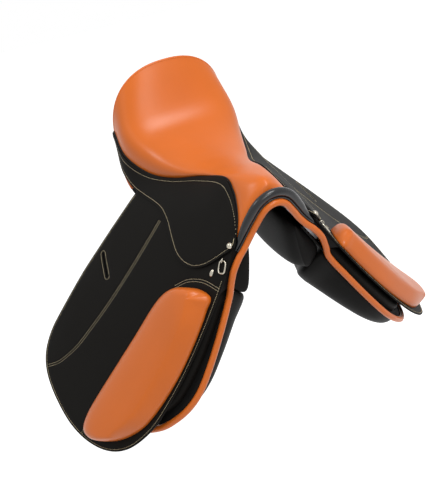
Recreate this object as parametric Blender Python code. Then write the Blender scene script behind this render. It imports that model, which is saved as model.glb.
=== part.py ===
"""Dressage saddle: a spring tree with its seat, skirts, flaps, knee blocks, panels and fittings.

The front of the saddle faces -Y, +X is the rider's left, and the origin lies on the mid plane at the
height of the horse's spine. Leather pieces are cut flat from a pattern and then laid on the form of the
saddle's side: a pattern point is (y, s), where y runs back along the saddle and s runs down the side.
"""

import math

import bmesh
import bpy
import numpy as np
from mathutils import Matrix, Vector

# Seat, in metres
SEAT_SIZE = 0.457  # nail head to the middle of the cantle
NAIL_Y = -0.189
NAIL_HEIGHT = 0.035
CANTLE_HEIGHT = 0.284  # above the spine
POMMEL_HEIGHT = 0.143
PATTERN_SEAT = 0.374  # level length from nail to cantle that the patterns are drawn for

# Form of the side that the flaps lie on
SIDE_TOP = 0.040  # height of the line s = 0
SIDE_HALF_WIDTH = 0.084  # at that height, at the front
SIDE_WIDENING = 0.226  # metres out for each metre back
FRONT_SLOPE = math.radians(31)  # from the vertical, at the front of that line
REAR_ROUNDING = 1.2  # draws the side in again behind the flap
ROUNDING_START = 0.10
REAR_SLOPE = math.radians(43)
LOW_SLOPE = math.radians(41.5)  # at the bottom of the flap
FLAP_LENGTH = 0.450  # from that line to the bottom of the form
PATTERN_FLAP = 0.450  # length that the patterns are drawn for
SKIRT_TOP = -0.080  # the seat's seam in pattern coordinates
FORM_FRONT = -0.21
FORM_REAR = 0.15

# Leather, foam and metal
CLEAR = 0.0003  # between pieces that lie on each other
SKIRT_CLEAR = 0.0007  # between the skirt and the flap, which twist together
PANEL_CLEAR = 0.0009
FLAP_LEATHER = 0.004
SKIRT_LEATHER = 0.004
SEAT_LEATHER = 0.0022
SWEAT_LEATHER = 0.0045
WEB_THICKNESS = 0.003
SEAT_WEB_THICKNESS = 0.002
BILLET_THICKNESS = 0.0035
BILLET_WIDTH = 0.026
FOAM_THICKNESS = 0.011
TREE_THICKNESS = 0.009
SPRING_THICKNESS = 0.002
PIPING_DIAMETER = 0.0125
REAR_PIPING_DIAMETER = 0.006
FACING_DIAMETER = 0.016
FACING_BACK = 0.0035  # behind the piping's line
FACING_FOOT = 0.016  # height of its two ends
FACING_TAPER = 0.72
SWEAT_DEPTH_FRONT = 0.028  # of the sweat flap's outer face under the flap's outer face
SWEAT_DEPTH_REAR = 0.0155

# Layers under the flap's outer face, counted inwards
WEB_DEPTH = FLAP_LEATHER + CLEAR
BILLET_DEPTH = WEB_DEPTH + WEB_THICKNESS + CLEAR

seat_level = math.sqrt(SEAT_SIZE**2 - SIDE_HALF_WIDTH**2 - (CANTLE_HEIGHT - NAIL_HEIGHT) ** 2)
grade = seat_level / PATTERN_SEAT


def graded(y):
    """A pattern's y on the saddle of the chosen seat size."""
    return NAIL_Y + (y - NAIL_Y) * grade


# The seat's seam, from the tongue beside the pommel to the side of the cantle: pattern y, half width, height
SEAM = (
    (-0.192, 0.071, 0.050),
    (-0.183, 0.060, 0.071),
    (-0.166, 0.049, 0.093),
    (-0.142, 0.040, 0.113),
    (-0.104, 0.036, 0.127),
    (-0.030, 0.050, 0.109),
    (0.043, 0.082, 0.091),
    (0.110, 0.110, 0.090),
    (0.176, 0.132, 0.116),
    (0.230, 0.129, 0.156),
)


def smooth_curve(points, steps):
    """Points on a smooth curve through the given ones, steps to each span."""
    points = [np.array(p, float) for p in points]
    ends = [2 * points[0] - points[1]] + points + [2 * points[-1] - points[-2]]
    curve = []
    for before, start, end, after in zip(ends, ends[1:], ends[2:], ends[3:]):
        for k in range(steps):
            t = k / steps
            curve.append(
                0.5
                * (
                    2 * start
                    + (end - before) * t
                    + (2 * before - 5 * start + 4 * end - after) * t**2
                    + (3 * start - before - 3 * end + after) * t**3
                )
            )
    curve.append(points[-1])
    return curve


seam_curve = np.array(smooth_curve(SEAM, 8))


def seam_at(y):
    """Half width and height of the seat's seam at a pattern y."""
    return (
        float(np.interp(y, seam_curve[:, 0], seam_curve[:, 1])),
        float(np.interp(y, seam_curve[:, 0], seam_curve[:, 2])),
    )


def slope_at(y, s):
    """Angle of the side from the vertical."""
    top = FRONT_SLOPE + (REAR_SLOPE - FRONT_SLOPE) * (y - FORM_FRONT) / (FORM_REAR - FORM_FRONT)
    return top + (LOW_SLOPE - top) * s / PATTERN_FLAP


def side_point(y, s):
    """A pattern point on the side's form, which is the flap's outer face."""
    top = slope_at(y, 0)
    x = SIDE_HALF_WIDTH + SIDE_WIDENING * (graded(y) - FORM_FRONT)
    x -= REAR_ROUNDING * max(0, y - ROUNDING_START) ** 2
    if s < 0:
        seam_x, seam_z = seam_at(y)
        start = Vector((x, graded(y), SIDE_TOP))
        end = Vector((seam_x, graded(y), seam_z))
        rise = (end - start).length * 0.45
        bend = start + Vector((-math.sin(top), 0, math.cos(top))) * rise
        t = s / SKIRT_TOP
        return start * (1 - t) ** 2 + bend * 2 * t * (1 - t) + end * t**2
    length = s * FLAP_LENGTH / PATTERN_FLAP
    turn = (slope_at(y, s) - top) or 1e-6
    out = length * (math.cos(top) - math.cos(top + turn)) / turn
    drop = length * (math.sin(top + turn) - math.sin(top)) / turn
    return Vector((x + out, graded(y), SIDE_TOP - drop))


def side_normal(y, s):
    step = 0.0005
    along = side_point(y + step, s) - side_point(y - step, s)
    down = side_point(y, s + step) - side_point(y, s - step)
    return down.cross(along).normalized()


# Common grid of the form, in pattern coordinates: every piece bends along these lines alike
GRID_STEP = 0.036
FINE_STEP = 0.016
GRID_LINES = (
    [k * GRID_STEP for k in range(-7, 8)],
    [k * FINE_STEP for k in range(-5, 1)] + [GRID_STEP * (2 * k + 1) for k in range(8)],
)
form_nodes = {}


def form_node(i, j):
    if (i, j) not in form_nodes:
        y, s = GRID_LINES[0][i], GRID_LINES[1][j]
        form_nodes[i, j] = (side_point(y, s), side_normal(y, s))
    return form_nodes[i, j]


def wrap(y, s, depth):
    """A pattern point on the form, depth under the outer face, read between the lines of the common grid."""
    shares = []
    for lines, value in zip(GRID_LINES, (y, s)):
        k = max(0, min(len(lines) - 2, int(np.searchsorted(lines, value)) - 1))
        shares.append((k, (value - lines[k]) / (lines[k + 1] - lines[k])))
    (i, a), (j, b) = shares
    point = Vector((0, 0, 0))
    for di, along in ((0, 1 - a), (1, a)):
        for dj, down in ((0, 1 - b), (1, b)):
            on, out = form_node(i + di, j + dj)
            point += (on - out * depth) * along * down
    return point


def sweat_depth(y):
    """Depth of the sweat flap's outer face, which lies deeper at the front, under the knee block."""
    t = min(1.0, max(0.0, (0.04 - y) / 0.12))
    t = t * t * (3 - 2 * t)
    return SWEAT_DEPTH_REAR + (SWEAT_DEPTH_FRONT - SWEAT_DEPTH_REAR) * t


def mirrored(points, side):
    return [Vector((side * p[0], p[1], p[2])) for p in points]


LEATHER_BLACK = ("black_leather", (0.012, 0.012, 0.013), 0.5, 0.0)
LEATHER_ORANGE = ("orange_leather", (0.75, 0.20, 0.045), 0.4, 0.0)
PATENT_BLACK = ("glossy_black_leather", (0.015, 0.016, 0.02), 0.2, 0.0)
PANEL_BLACK = ("panel_leather", (0.016, 0.016, 0.017), 0.6, 0.0)
NICKEL = ("polished_nickel", (0.75, 0.74, 0.70), 0.2, 1.0)
STEEL = ("dark_steel", (0.30, 0.30, 0.31), 0.4, 1.0)
BEECH = ("laminated_beech", (0.60, 0.42, 0.25), 0.6, 0.0)
FOAM = ("seat_foam", (0.80, 0.74, 0.55), 0.9, 0.0)
WEBBING = ("jute_webbing", (0.55, 0.45, 0.30), 0.8, 0.0)


def material(finish):
    name, colour, roughness, metallic = finish
    found = bpy.data.materials.get(name)
    if found:
        return found
    made = bpy.data.materials.new(name)
    made.use_nodes = True
    shader = made.node_tree.nodes["Principled BSDF"]
    shader.inputs["Base Color"].default_value = (*colour, 1)
    shader.inputs["Roughness"].default_value = roughness
    shader.inputs["Metallic"].default_value = metallic
    made.diffuse_color = (*colour, 1)
    return made


def add_mesh(name, bm, finish, origin=(0, 0, 0), smooth=40):
    """Ends a piece: its mesh is closed and turned outwards, and its object stands on its joint's axis."""
    bmesh.ops.remove_doubles(bm, verts=bm.verts, dist=0.00002)
    bmesh.ops.recalc_face_normals(bm, faces=bm.faces)
    if bm.calc_volume(signed=True) < 0:
        bmesh.ops.reverse_faces(bm, faces=bm.faces)
    bmesh.ops.translate(bm, verts=bm.verts, vec=-Vector(origin))
    mesh = bpy.data.meshes.new(name)
    bm.to_mesh(mesh)
    bm.free()
    mesh.shade_smooth()
    mesh.set_sharp_from_angle(angle=math.radians(smooth))
    mesh.materials.append(material(finish))
    made = bpy.data.objects.new(name, mesh)
    made.location = origin
    bpy.context.scene.collection.objects.link(made)
    return made


def add_tube(name, points, radius, finish, closed=False, radii=None, sides=8):
    """A round cord of leather or a wire, as a bevelled curve with filled ends."""
    data = bpy.data.curves.new(name, "CURVE")
    data.dimensions = "3D"
    data.bevel_depth = radius
    data.bevel_resolution = sides // 2 - 2
    data.use_fill_caps = not closed
    spline = data.splines.new("POLY")
    spline.points.add(len(points) - 1)
    for i, (target, point) in enumerate(zip(spline.points, points)):
        target.co = (*point, 1)
        target.radius = radii[i] if radii else 1
    spline.use_cyclic_u = closed
    data.materials.append(material(finish))
    made = bpy.data.objects.new(name, data)
    bpy.context.scene.collection.objects.link(made)
    return made


def cut_lines(bm, axis, low, high):
    """Cuts flat work along the form's common grid, so that pieces that lie on each other bend alike."""
    normal = Vector([1 if i == axis else 0 for i in range(3)])
    for line in GRID_LINES[axis]:
        if low < line < high:
            geometry = bm.verts[:] + bm.edges[:] + bm.faces[:]
            bmesh.ops.bisect_plane(bm, geom=geometry, plane_co=normal * line, plane_no=normal, dist=0.0001)


def add_leather(name, outline, top, bottom, finish, side, windows=(), slot=None, origin=None):
    """A piece cut flat along its outline and laid on the form between two depths, numbers or rules of y."""
    bm = bmesh.new()
    face = bm.faces.new([bm.verts.new((y, s, 0)) for y, s in outline])
    face.normal_update()
    if face.normal.z < 0:
        face.normal_flip()
    for low_y, low_s, high_y, high_s in windows:
        for axis, value in ((0, low_y), (0, high_y), (1, low_s), (1, high_s)):
            normal = Vector((axis == 0, axis == 1, 0))
            geometry = bm.verts[:] + bm.edges[:] + bm.faces[:]
            bmesh.ops.bisect_plane(bm, geom=geometry, plane_co=normal * value, plane_no=normal, dist=0.0001)
    ys = [p[0] for p in outline]
    ss = [p[1] for p in outline]
    cut_lines(bm, 0, min(ys), max(ys))
    cut_lines(bm, 1, min(ss), max(ss))
    inside = []
    for face in bm.faces:
        centre = face.calc_center_median()
        if any(w[0] < centre.x < w[2] and w[1] < centre.y < w[3] for w in windows):
            inside.append(face)
    bmesh.ops.delete(bm, geom=inside, context="FACES")
    if slot:
        bm = cut_slot(bm, slot)
    bmesh.ops.triangulate(bm, faces=bm.faces, quad_method="FIXED")
    raised = bmesh.ops.extrude_face_region(bm, geom=bm.faces[:], use_keep_orig=True)["geom"]
    upper = {v for v in raised if isinstance(v, bmesh.types.BMVert)}
    for vert in bm.verts:
        y, s, _ = vert.co
        rule = top if vert in upper else bottom
        vert.co = wrap(y, s, rule(y) if callable(rule) else rule)
        vert.co.x *= side
    return add_mesh(name, bm, finish, origin or (0, 0, 0))


def cut_slot(bm, slot):
    """Takes a narrow slot out of flat work: the triangles round it are joined, opened and filled again."""
    (start_y, start_s), (end_y, end_s), width = slot
    along = Vector((end_y - start_y, end_s - start_s, 0)).normalized()
    across = Vector((-along.y, along.x, 0)) * width / 2
    ends = Vector((start_y, start_s, 0)), Vector((end_y, end_s, 0))
    corners = [ends[0] - across, ends[1] - across, ends[1] + across, ends[0] + across]
    for i, corner in enumerate(corners):
        edge = corners[(i + 1) % 4] - corner
        normal = Vector((edge.y, -edge.x, 0)).normalized()
        geometry = bm.verts[:] + bm.edges[:] + bm.faces[:]
        bmesh.ops.bisect_plane(bm, geom=geometry, plane_co=corner, plane_no=normal, dist=0.0002)
    centre = (ends[0] + ends[1]) / 2
    half = (ends[1] - ends[0]).length / 2
    inside = []
    for face in bm.faces:
        away = face.calc_center_median() - centre
        if abs(away.dot(along)) < half and abs(away.dot(across.normalized())) < width / 2:
            inside.append(face)
    bmesh.ops.delete(bm, geom=inside, context="FACES")
    return bm


# Section of a padded block, from the middle of its back to the middle of its face: share inwards and rise
CUSHION_PROFILE = (
    (0.80, 0.0),
    (0.48, 0.0),
    (0.0, 0.0),
    (0.0, 0.34),
    (0.05, 0.55),
    (0.20, 0.80),
    (0.48, 0.97),
    (0.80, 1.0),
)


def add_cushion(name, outline, ridge, base, height, finish, side, count=28, origin=None):
    """A padded block on the form: its sides stand up from the outline and draw in over the ridge.

    Its height is one number, or one for each end of the ridge. A negative height points inwards.
    """
    closed = [np.array(p) for p in outline]
    closed = smooth_curve(closed + [closed[0]], 6)[:-1]
    lengths = [np.linalg.norm(b - a) for a, b in zip(closed, closed[1:] + closed[:1])]
    total = np.concatenate([[0], np.cumsum(lengths)])
    loop = closed + [closed[0]]
    edge = []
    for k in range(count):
        at = total[-1] * k / count
        edge.append(np.array([np.interp(at, total, [p[axis] for p in loop]) for axis in (0, 1)]))
    ridge_s = [p[1] for p in ridge]
    ridge_y = [p[0] for p in ridge]
    crest = []
    for point in edge:
        s = min(max(point[1], ridge_s[0]), ridge_s[-1])
        crest.append(np.array([np.interp(s, ridge_s, ridge_y), s]))
    tall = height if isinstance(height, tuple) else (height, height)
    bm = bmesh.new()
    rings = []
    for inwards, rise in CUSHION_PROFILE:
        ring = []
        for point, middle in zip(edge, crest):
            y, s = point * (1 - inwards) + middle * inwards
            depth = base(y) if callable(base) else base
            high = float(np.interp(s, (ridge_s[0], ridge_s[-1]), tall))
            at = wrap(y, s, depth - high * rise)
            ring.append(bm.verts.new((side * at.x, at.y, at.z)))
        rings.append(ring)
    for ring, after in zip(rings, rings[1:]):
        for i in range(count):
            j = (i + 1) % count
            bm.faces.new((ring[i], ring[j], after[j], after[i]))
    for ring in (rings[0], rings[-1]):
        face = bm.faces.new(ring)
        bmesh.ops.triangulate(bm, faces=[face])
    return add_mesh(name, bm, finish, origin or (0, 0, 0))


# Seat: for each row of the seam, the mid line's pattern y and height, how boxy the section is, and its dish
SEAT_LOW = 0.126
SEAT_ROWS = (
    (-0.203, POMMEL_HEIGHT - 0.0260, 1.6, 0.0),
    (-0.201, POMMEL_HEIGHT - 0.0150, 1.5, 0.0),
    (-0.196, POMMEL_HEIGHT - 0.0070, 1.4, 0.0),
    (-0.178, POMMEL_HEIGHT - 0.0010, 1.25, 0.0),
    (-0.131, POMMEL_HEIGHT - 0.0050, 1.0, 0.0),
    (-0.060, SEAT_LOW + 0.0020, 0.85, 0.0),
    (0.012, SEAT_LOW, 0.8, 0.002),
    (0.092, SEAT_LOW + 0.0170, 0.75, 0.006),
    (0.150, CANTLE_HEIGHT - 0.1010, 0.75, 0.012),
    (0.194, CANTLE_HEIGHT, 0.85, 0.0),
)
SEAT_COLUMNS = 14
ROW_STEP = 0.5

SEAT_STEPS = 8
seat_curve = np.array(smooth_curve([(*seam, *row) for seam, row in zip(SEAM, SEAT_ROWS)], SEAT_STEPS))
last_row = len(SEAM) - 1


def seat_row(v):
    index = v * SEAT_STEPS
    places = range(len(seat_curve))
    return [float(np.interp(index, places, column)) for column in seat_curve.T]


def seat_point(v, angle):
    """Point of the seat's outer face: v counts the rows, angle 0 is the mid line and +-90 the seams."""
    seam_y, half, seam_z, mid_y, mid_z, power, dish = seat_row(v)
    out = abs(math.sin(angle)) ** power * (1 if angle > 0 else -1)
    up = abs(math.cos(angle)) ** power
    y = graded(seam_y) + (graded(mid_y) - graded(seam_y)) * up
    return Vector((half * out, y, seam_z + (mid_z - seam_z) * up + dish * 4 * up * (1 - up)))


def seat_share(v):
    """How thick the layers are: full in the middle, thinner at the twist and the cantle's rim."""
    return float(np.interp(v, (0, 4.5, 6.0, 7.2, 9.0), (0.5, 0.6, 1.0, 1.0, 0.5)))


def seat_tilt(v):
    """Slope of the mid line where it climbs to the cantle."""
    if v < 5:
        return 0.0
    before, after = seat_point(max(0, v - 0.25), 0), seat_point(min(last_row, v + 0.25), 0)
    return max(0.0, math.atan2(after.z - before.z, after.y - before.y))


def seat_at(v, angle, depth):
    """A point depth under the seat's outer face: inwards at the seams, square to it in the middle."""
    _, half, seam_z, _, mid_z, power, _ = seat_row(v)
    out = abs(math.sin(angle)) ** power * (1 if angle > 0 else -1)
    up = abs(math.cos(angle)) ** power
    tilt = seat_tilt(v)
    arched = min(1.0, max(0.0, ((mid_z - seam_z) / half - 0.4) / 0.6))
    down = arched * up + (1 - arched)
    return seat_point(v, angle) + Vector((-out, down * math.sin(tilt), -down * math.cos(tilt))) * depth


def add_plate(name, outer, inner, finish, kept=None):
    """A plate between two grids of points; kept lists the cells that it has."""
    rows, columns = len(outer), len(outer[0])
    kept = kept or {(i, j) for i in range(rows - 1) for j in range(columns - 1)}
    bm = bmesh.new()
    over = [[bm.verts.new(p) for p in row] for row in outer]
    under = [[bm.verts.new(p) for p in row] for row in inner]
    for i, j in sorted(kept):
        for grid in (over, under):
            bm.faces.new((grid[i][j], grid[i + 1][j], grid[i + 1][j + 1]))
            bm.faces.new((grid[i][j], grid[i + 1][j + 1], grid[i][j + 1]))
        sides = (
            ((i - 1, j), (i, j), (i, j + 1)),
            ((i + 1, j), (i + 1, j + 1), (i + 1, j)),
            ((i, j - 1), (i + 1, j), (i, j)),
            ((i, j + 1), (i, j + 1), (i + 1, j + 1)),
        )
        for neighbour, (a, b), (c, d) in sides:
            if neighbour not in kept:
                bm.faces.new([over[c][d], over[a][b], under[a][b], under[c][d]])
    bmesh.ops.delete(bm, geom=[v for v in bm.verts if not v.link_faces], context="VERTS")
    return add_mesh(name, bm, finish)


def add_seat_layer(name, layer, finish, first=0.0, last=None, inset=0, keep=None):
    """One layer of the seat, over the rows from first to last and in from the seams by whole columns."""
    last = last_row if last is None else last
    count = round((last - first) / ROW_STEP)
    rows = [first + (last - first) * k / count for k in range(count + 1)]
    columns = range(inset, SEAT_COLUMNS + 1 - inset)
    shares = [2 * j / SEAT_COLUMNS - 1 for j in columns]
    grids = [
        [[seat_at(v, math.pi / 2 * a, layer_depths(layer, v)[side]) for a in shares] for v in rows]
        for side in (0, 1)
    ]
    kept = None
    if keep:
        kept = {
            (i, j)
            for i in range(count)
            for j in range(len(shares) - 1)
            if keep((rows[i] + rows[i + 1]) / 2, abs(shares[j] + shares[j + 1]) / 2)
        }
    return add_plate(name, *grids, finish, kept)


def add_loft(name, rings, finish, origin=(0, 0, 0)):
    """A closed solid through rings of as many points each, with flat ends."""
    bm = bmesh.new()
    loops = [[bm.verts.new(point) for point in ring] for ring in rings]
    for ring, after in zip(loops, loops[1:]):
        for i in range(len(ring)):
            j = (i + 1) % len(ring)
            bm.faces.new((ring[i], ring[j], after[j], after[i]))
    for ring in (loops[0], loops[-1]):
        bmesh.ops.triangulate(bm, faces=[bm.faces.new(ring)])
    return add_mesh(name, bm, finish, origin)


def start_scene():
    for old in list(bpy.data.objects):
        bpy.data.objects.remove(old)


SEAT_LAYERS = (SEAT_LEATHER, FOAM_THICKNESS, SEAT_WEB_THICKNESS, TREE_THICKNESS, SPRING_THICKNESS)
COVER, PADDING, STRAPS, TREE, PLATES = range(5)


def layer_depths(layer, v):
    """Depths of a layer's two faces under the seat's outer face at row v."""
    top = 0.0
    for thickness in SEAT_LAYERS[:layer]:
        top += (thickness if top == 0 else thickness * seat_share(v)) + CLEAR
    return top, top + SEAT_LAYERS[layer] * (seat_share(v) if layer else 1)


def add_seat():
    add_seat_layer("seat_cover", COVER, LEATHER_ORANGE)
    add_seat_layer("seat_foam", PADDING, FOAM, first=0.5, last=8.5, inset=1)
    add_seat_layer(
        "seat_webbing",
        STRAPS,
        WEBBING,
        first=1.0,
        last=8.5,
        inset=2,
        keep=lambda v, a: a < 0.3 or 5.5 < v < 6.5 or 7.0 < v < 7.5,
    )
    add_seat_layer(
        "tree_frame",
        TREE,
        BEECH,
        first=0.5,
        last=8.5,
        inset=1,
        keep=lambda v, a: v < 3 or v > 7.5 or a > 0.55,
    )
    add_seat_layer("gullet_plate", PLATES, STEEL, first=1.0, last=2.5, inset=1)
    add_seat_layer("cantle_plate", PLATES, STEEL, first=7.5, last=8.5, inset=2)


# Patterns, as points (y, s)
FLAP_OUTLINE = (
    (-0.2110, 0.0720),
    (-0.2140, 0.140),
    (-0.2155, 0.215),
    (-0.2150, 0.270),
    (-0.2120, 0.320),
    (-0.2060, 0.372),
    (-0.1920, 0.413),
    (-0.1750, 0.441),
    (-0.1500, 0.462),
    (-0.1150, 0.475),
    (-0.0700, 0.479),
    (-0.0200, 0.472),
    (0.0340, 0.453),
    (0.0830, 0.428),
    (0.1170, 0.401),
    (0.1390, 0.371),
    (0.1510, 0.333),
    (0.1530, 0.290),
    (0.1500, 0.192),
    (0.1420, 0.125),
    (0.1345, 0.0720),
)
FLAP_HEAD_OUTLINE = (
    (-0.2090, 0.0714),
    (-0.2090, 0.045),
    (-0.2070, 0.022),
    (-0.1990, -0.010),
    (-0.1930, -0.042),
    (-0.1840, -0.066),
    (-0.1700, -0.077),
    (0.1000, -0.077),
    (0.1160, -0.030),
    (0.1240, 0.010),
    (0.1340, 0.0714),
)
KEEPER_SLOT = ((0.119, 0.127), (0.074, 0.166), 0.004)  # its two ends and its width
# The lines that the loose leather bends on, as two pattern points and a depth
FLAP_HINGE = ((-0.190, 0.0717), (0.120, 0.0717), 0.0)
SKIRT_HINGE = ((-0.186, -0.013), (0.030, -0.063), -SKIRT_CLEAR - SKIRT_LEATHER - 0.002)

SKIRT_OUTLINE = (
    (-0.1860, -0.0045),
    (-0.1900, 0.006),
    (-0.1885, 0.022),
    (-0.1760, 0.036),
    (-0.1580, 0.053),
    (-0.1330, 0.066),
    (-0.1050, 0.067),
    (-0.0760, 0.057),
    (-0.0460, 0.034),
    (-0.0180, 0.010),
    (0.0060, -0.004),
    (0.0300, -0.013),
    (0.0300, -0.0465),
)
SKIRT_BAND_OUTLINE = (
    (-0.1865, -0.0080),
    (-0.1915, 0.006),
    (-0.1900, 0.018),
    (-0.2020, 0.006),
    (-0.2080, -0.008),
    (-0.2060, -0.040),
    (-0.1960, -0.0785),
    (0.2480, -0.0785),
    (0.2380, -0.0710),
    (0.2230, -0.0640),
    (0.1880, -0.0490),
    (0.1520, -0.0390),
    (0.1190, -0.0310),
    (0.0800, -0.0235),
    (0.0315, -0.0135),
    (0.0315, -0.0505),
)

BLOCK_OUTLINE = (
    (-0.199, 0.101),
    (-0.170, 0.096),
    (-0.143, 0.103),
    (-0.120, 0.114),
    (-0.101, 0.135),
    (-0.089, 0.170),
    (-0.080, 0.235),
    (-0.071, 0.305),
    (-0.064, 0.370),
    (-0.062, 0.420),
    (-0.071, 0.455),
    (-0.096, 0.463),
    (-0.125, 0.453),
    (-0.152, 0.434),
    (-0.174, 0.408),
    (-0.190, 0.376),
    (-0.200, 0.328),
    (-0.206, 0.270),
    (-0.207, 0.215),
    (-0.205, 0.160),
    (-0.202, 0.125),
)
BLOCK_RIDGE = (
    (-0.170, 0.118),
    (-0.178, 0.160),
    (-0.179, 0.200),
    (-0.177, 0.250),
    (-0.172, 0.310),
    (-0.165, 0.370),
    (-0.145, 0.425),
)
BLOCK_HEIGHT = 0.030
INNER_BLOCK_OUTLINE = (
    (-0.200, 0.085),
    (-0.165, 0.082),
    (-0.142, 0.105),
    (-0.134, 0.160),
    (-0.134, 0.250),
    (-0.140, 0.320),
    (-0.165, 0.352),
    (-0.195, 0.345),
    (-0.213, 0.310),
    (-0.218, 0.260),
    (-0.216, 0.200),
    (-0.209, 0.130),
)
INNER_BLOCK_RIDGE = ((-0.178, 0.105), (-0.180, 0.200), (-0.180, 0.270), (-0.178, 0.330))
KNEE_PAD_OUTLINE = (
    (-0.200, 0.084),
    (-0.140, 0.099),
    (-0.100, 0.104),
    (-0.084, 0.116),
    (-0.083, 0.200),
    (-0.083, 0.260),
    (-0.087, 0.335),
    (-0.120, 0.384),
    (-0.170, 0.385),
    (-0.205, 0.352),
    (-0.226, 0.308),
    (-0.231, 0.260),
    (-0.222, 0.200),
    (-0.209, 0.140),
)
KNEE_PAD_RIDGE = ((-0.150, 0.128), (-0.160, 0.200), (-0.165, 0.280), (-0.158, 0.345))
KNEE_PAD_TOP = 0.072  # thickness at its upper end, and below at its lower end
KNEE_PAD_FOOT = 0.040

# Line of the front piping: over the arch as (half width, y, height), then down the sweat flap's edge
ARCH_LINE = (
    (0.0000, -0.2190, POMMEL_HEIGHT - 0.0390),
    (0.0200, -0.2162, POMMEL_HEIGHT - 0.0470),
    (0.0380, -0.2105, POMMEL_HEIGHT - 0.0710),
    (0.0500, -0.2070, 0.0530),
    (0.0640, -0.2065, 0.0345),
    (0.0800, -0.2080, 0.0175),
    (0.0940, -0.2085, -0.0040),
    (0.1020, -0.2065, -0.0300),
)
PIPING_JOIN_COUNT = 2  # points of the sweat flap's edge before the piping comes onto it
SWEAT_EDGE = (
    (-0.1990, 0.005),
    (-0.2020, 0.045),
    (-0.2120, 0.095),
    (-0.2240, 0.155),
    (-0.2345, 0.220),
    (-0.2395, 0.275),
    (-0.2340, 0.315),
    (-0.2190, 0.350),
    (-0.1990, 0.378),
    (-0.1650, 0.402),
    (-0.1200, 0.415),
)
SWEAT_REAR = (
    (-0.1000, 0.412),
    (-0.0300, 0.398),
    (0.0300, 0.365),
    (0.0650, 0.310),
    (0.0820, 0.230),
    (0.0900, 0.120),
    (0.0950, -0.028),
)

SWEAT_CORNER = (-0.1875, -0.020)

PANEL_CAPS = (-0.005, 0.010)  # how far its ends swell out
PANEL_CAP_SHARE = 0.72
# Panels: pattern y, inner top, inner bottom (both half width and height), then s of the outer bottom and top
PANEL_SECTIONS = (
    (-0.189, (0.045, 0.036), (0.062, -0.078), 0.078, 0.020),
    (-0.155, (0.036, 0.046), (0.048, -0.085), 0.090, 0.000),
    (-0.090, (0.033, 0.060), (0.042, -0.082), 0.092, -0.025),
    (-0.020, (0.034, 0.076), (0.040, -0.064), 0.070, -0.045),
    (0.050, (0.036, 0.078), (0.040, -0.008), 0.035, -0.050),
    (0.120, (0.037, 0.080), (0.042, 0.038), 0.002, -0.052),
    (0.180, (0.039, 0.094), (0.045, 0.056), -0.026, -0.060),
    (0.232, (0.042, 0.116), (0.048, 0.082), -0.050, -0.074),
)
REAR_PIPING_LINE = (
    (0.140, -0.0290),
    (0.160, -0.0350),
    (0.190, -0.0440),
    (0.220, -0.0560),
    (0.245, -0.0690),
)

# Stirrup bar, in its own frame: x back along the saddle, z out
BAR_PLACE = (-0.120, 0.005)
BAR_LENGTH = 0.110
BAR_WIDTH = 0.014
BAR_PLATE = 0.003
BAR_ROD = 0.006
BAR_OUTER_DEPTH = 0.0025
BAR_SLOT = 0.0077
BAR_RISER = 0.008
BAR_MOUTH = 0.017
BAR_ROOM = 0.003  # round it, in the flap's window
CATCH_WIDTH = 0.008
CATCH_LENGTH = 0.012
CATCH_RADIUS = 0.0032
PIN_RADIUS = 0.0015
PIN_CLEAR = 0.0003
CATCH_CLEAR = 0.0004  # on each side of the catch
CATCH_TIP = 0.0035  # thickness
CUT_OVER = 0.001  # how far a cutter stands out of what it cuts
BAR_CHAMFER = 0.0025
POINT_OUTLINE = (
    (-0.186, -0.020),
    (-0.166, -0.045),
    (-0.073, -0.045),
    (-0.073, 0.018),
    (-0.140, 0.030),
    (-0.150, 0.068),
    (-0.172, 0.072),
    (-0.186, 0.056),
)

CANTLE_BACK_ROWS = 4
CANTLE_BACK_LEATHER = 0.0025
CANTLE_ROLL = 0.003  # of the leather round the rim
CANTLE_DROP = 0.004
CANTLE_BULGE = 0.002
CANTLE_BELLY = 0.004
CANTLE_BELLY_SHARE = 0.4
CANTLE_FOOT_HALF = 0.124
CANTLE_FOOT_Y = 0.244
CANTLE_FOOT_CURVE = 0.024
CANTLE_FOOT_Z = 0.130
CANTLE_FOOT_RISE = 0.013  # from the mid line out to the sides
LINING_ROWS = 4
LINING_POINT_COUNT = 3  # points of the arch's line that it covers on each side
LINING_LEATHER = 0.002
LINING_LENGTH = 0.100
LINING_NARROWING = 0.72
LINING_DROP = 0.004

DEE_PLACE = (-0.1940, 0.0290)
DEE_TILT = math.radians(10)
DEE_WIDTH = 0.019
DEE_DROP = 0.026
DEE_CORNER = 0.62  # how round its corners are: 1 would make it an ellipse
DEE_WIRE = 0.0030
STAPLE_WIRE = 0.0018
STAPLE_RADIUS = 0.0042
STUD_PLACE = (-0.1780, 0.0590)
STUD_LENGTH = 0.015
STUD_WIDTH = 0.008
STUD_DOME = 0.0035
STUD_TILT = math.radians(3)
NAIL_PLACE = (-0.1985, -0.0060)
NAIL_DIAMETER = 0.0120
NAIL_DOME = 0.0045

# Name, y, top, top of its web, lower end
BILLETS = (("front", -0.088, 0.034, 0.026, 0.430), ("rear", 0.020, 0.002, -0.068, 0.425))
BILLET_PIVOT = 0.008  # below the billet's top
WEB_LAP = 0.022  # of the web over the billet
WEB_OVER = 0.001  # how much wider the web is, on each side
BILLET_HOLES = 8
BILLET_TIP = 0.015  # length of its pointed end
BILLET_TIP_SHARE = 0.35
BILLET_STEP = 0.06
HOLE_PITCH = 0.025
HOLE_RADIUS = 0.0025
FIRST_HOLE = 0.045  # from the billet's lower end


def panel_depth(y):
    """Depth of the panel's outer face: under the sweat flap, and just under the skirt's tail behind it."""
    t = min(1.0, max(0.0, (y - 0.11) / 0.05))
    t = t * t * (3 - 2 * t)
    return (sweat_depth(y) + SWEAT_LEATHER + PANEL_CLEAR) * (1 - t) + (REAR_PIPING_DIAMETER + 3 * CLEAR) * t


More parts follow.
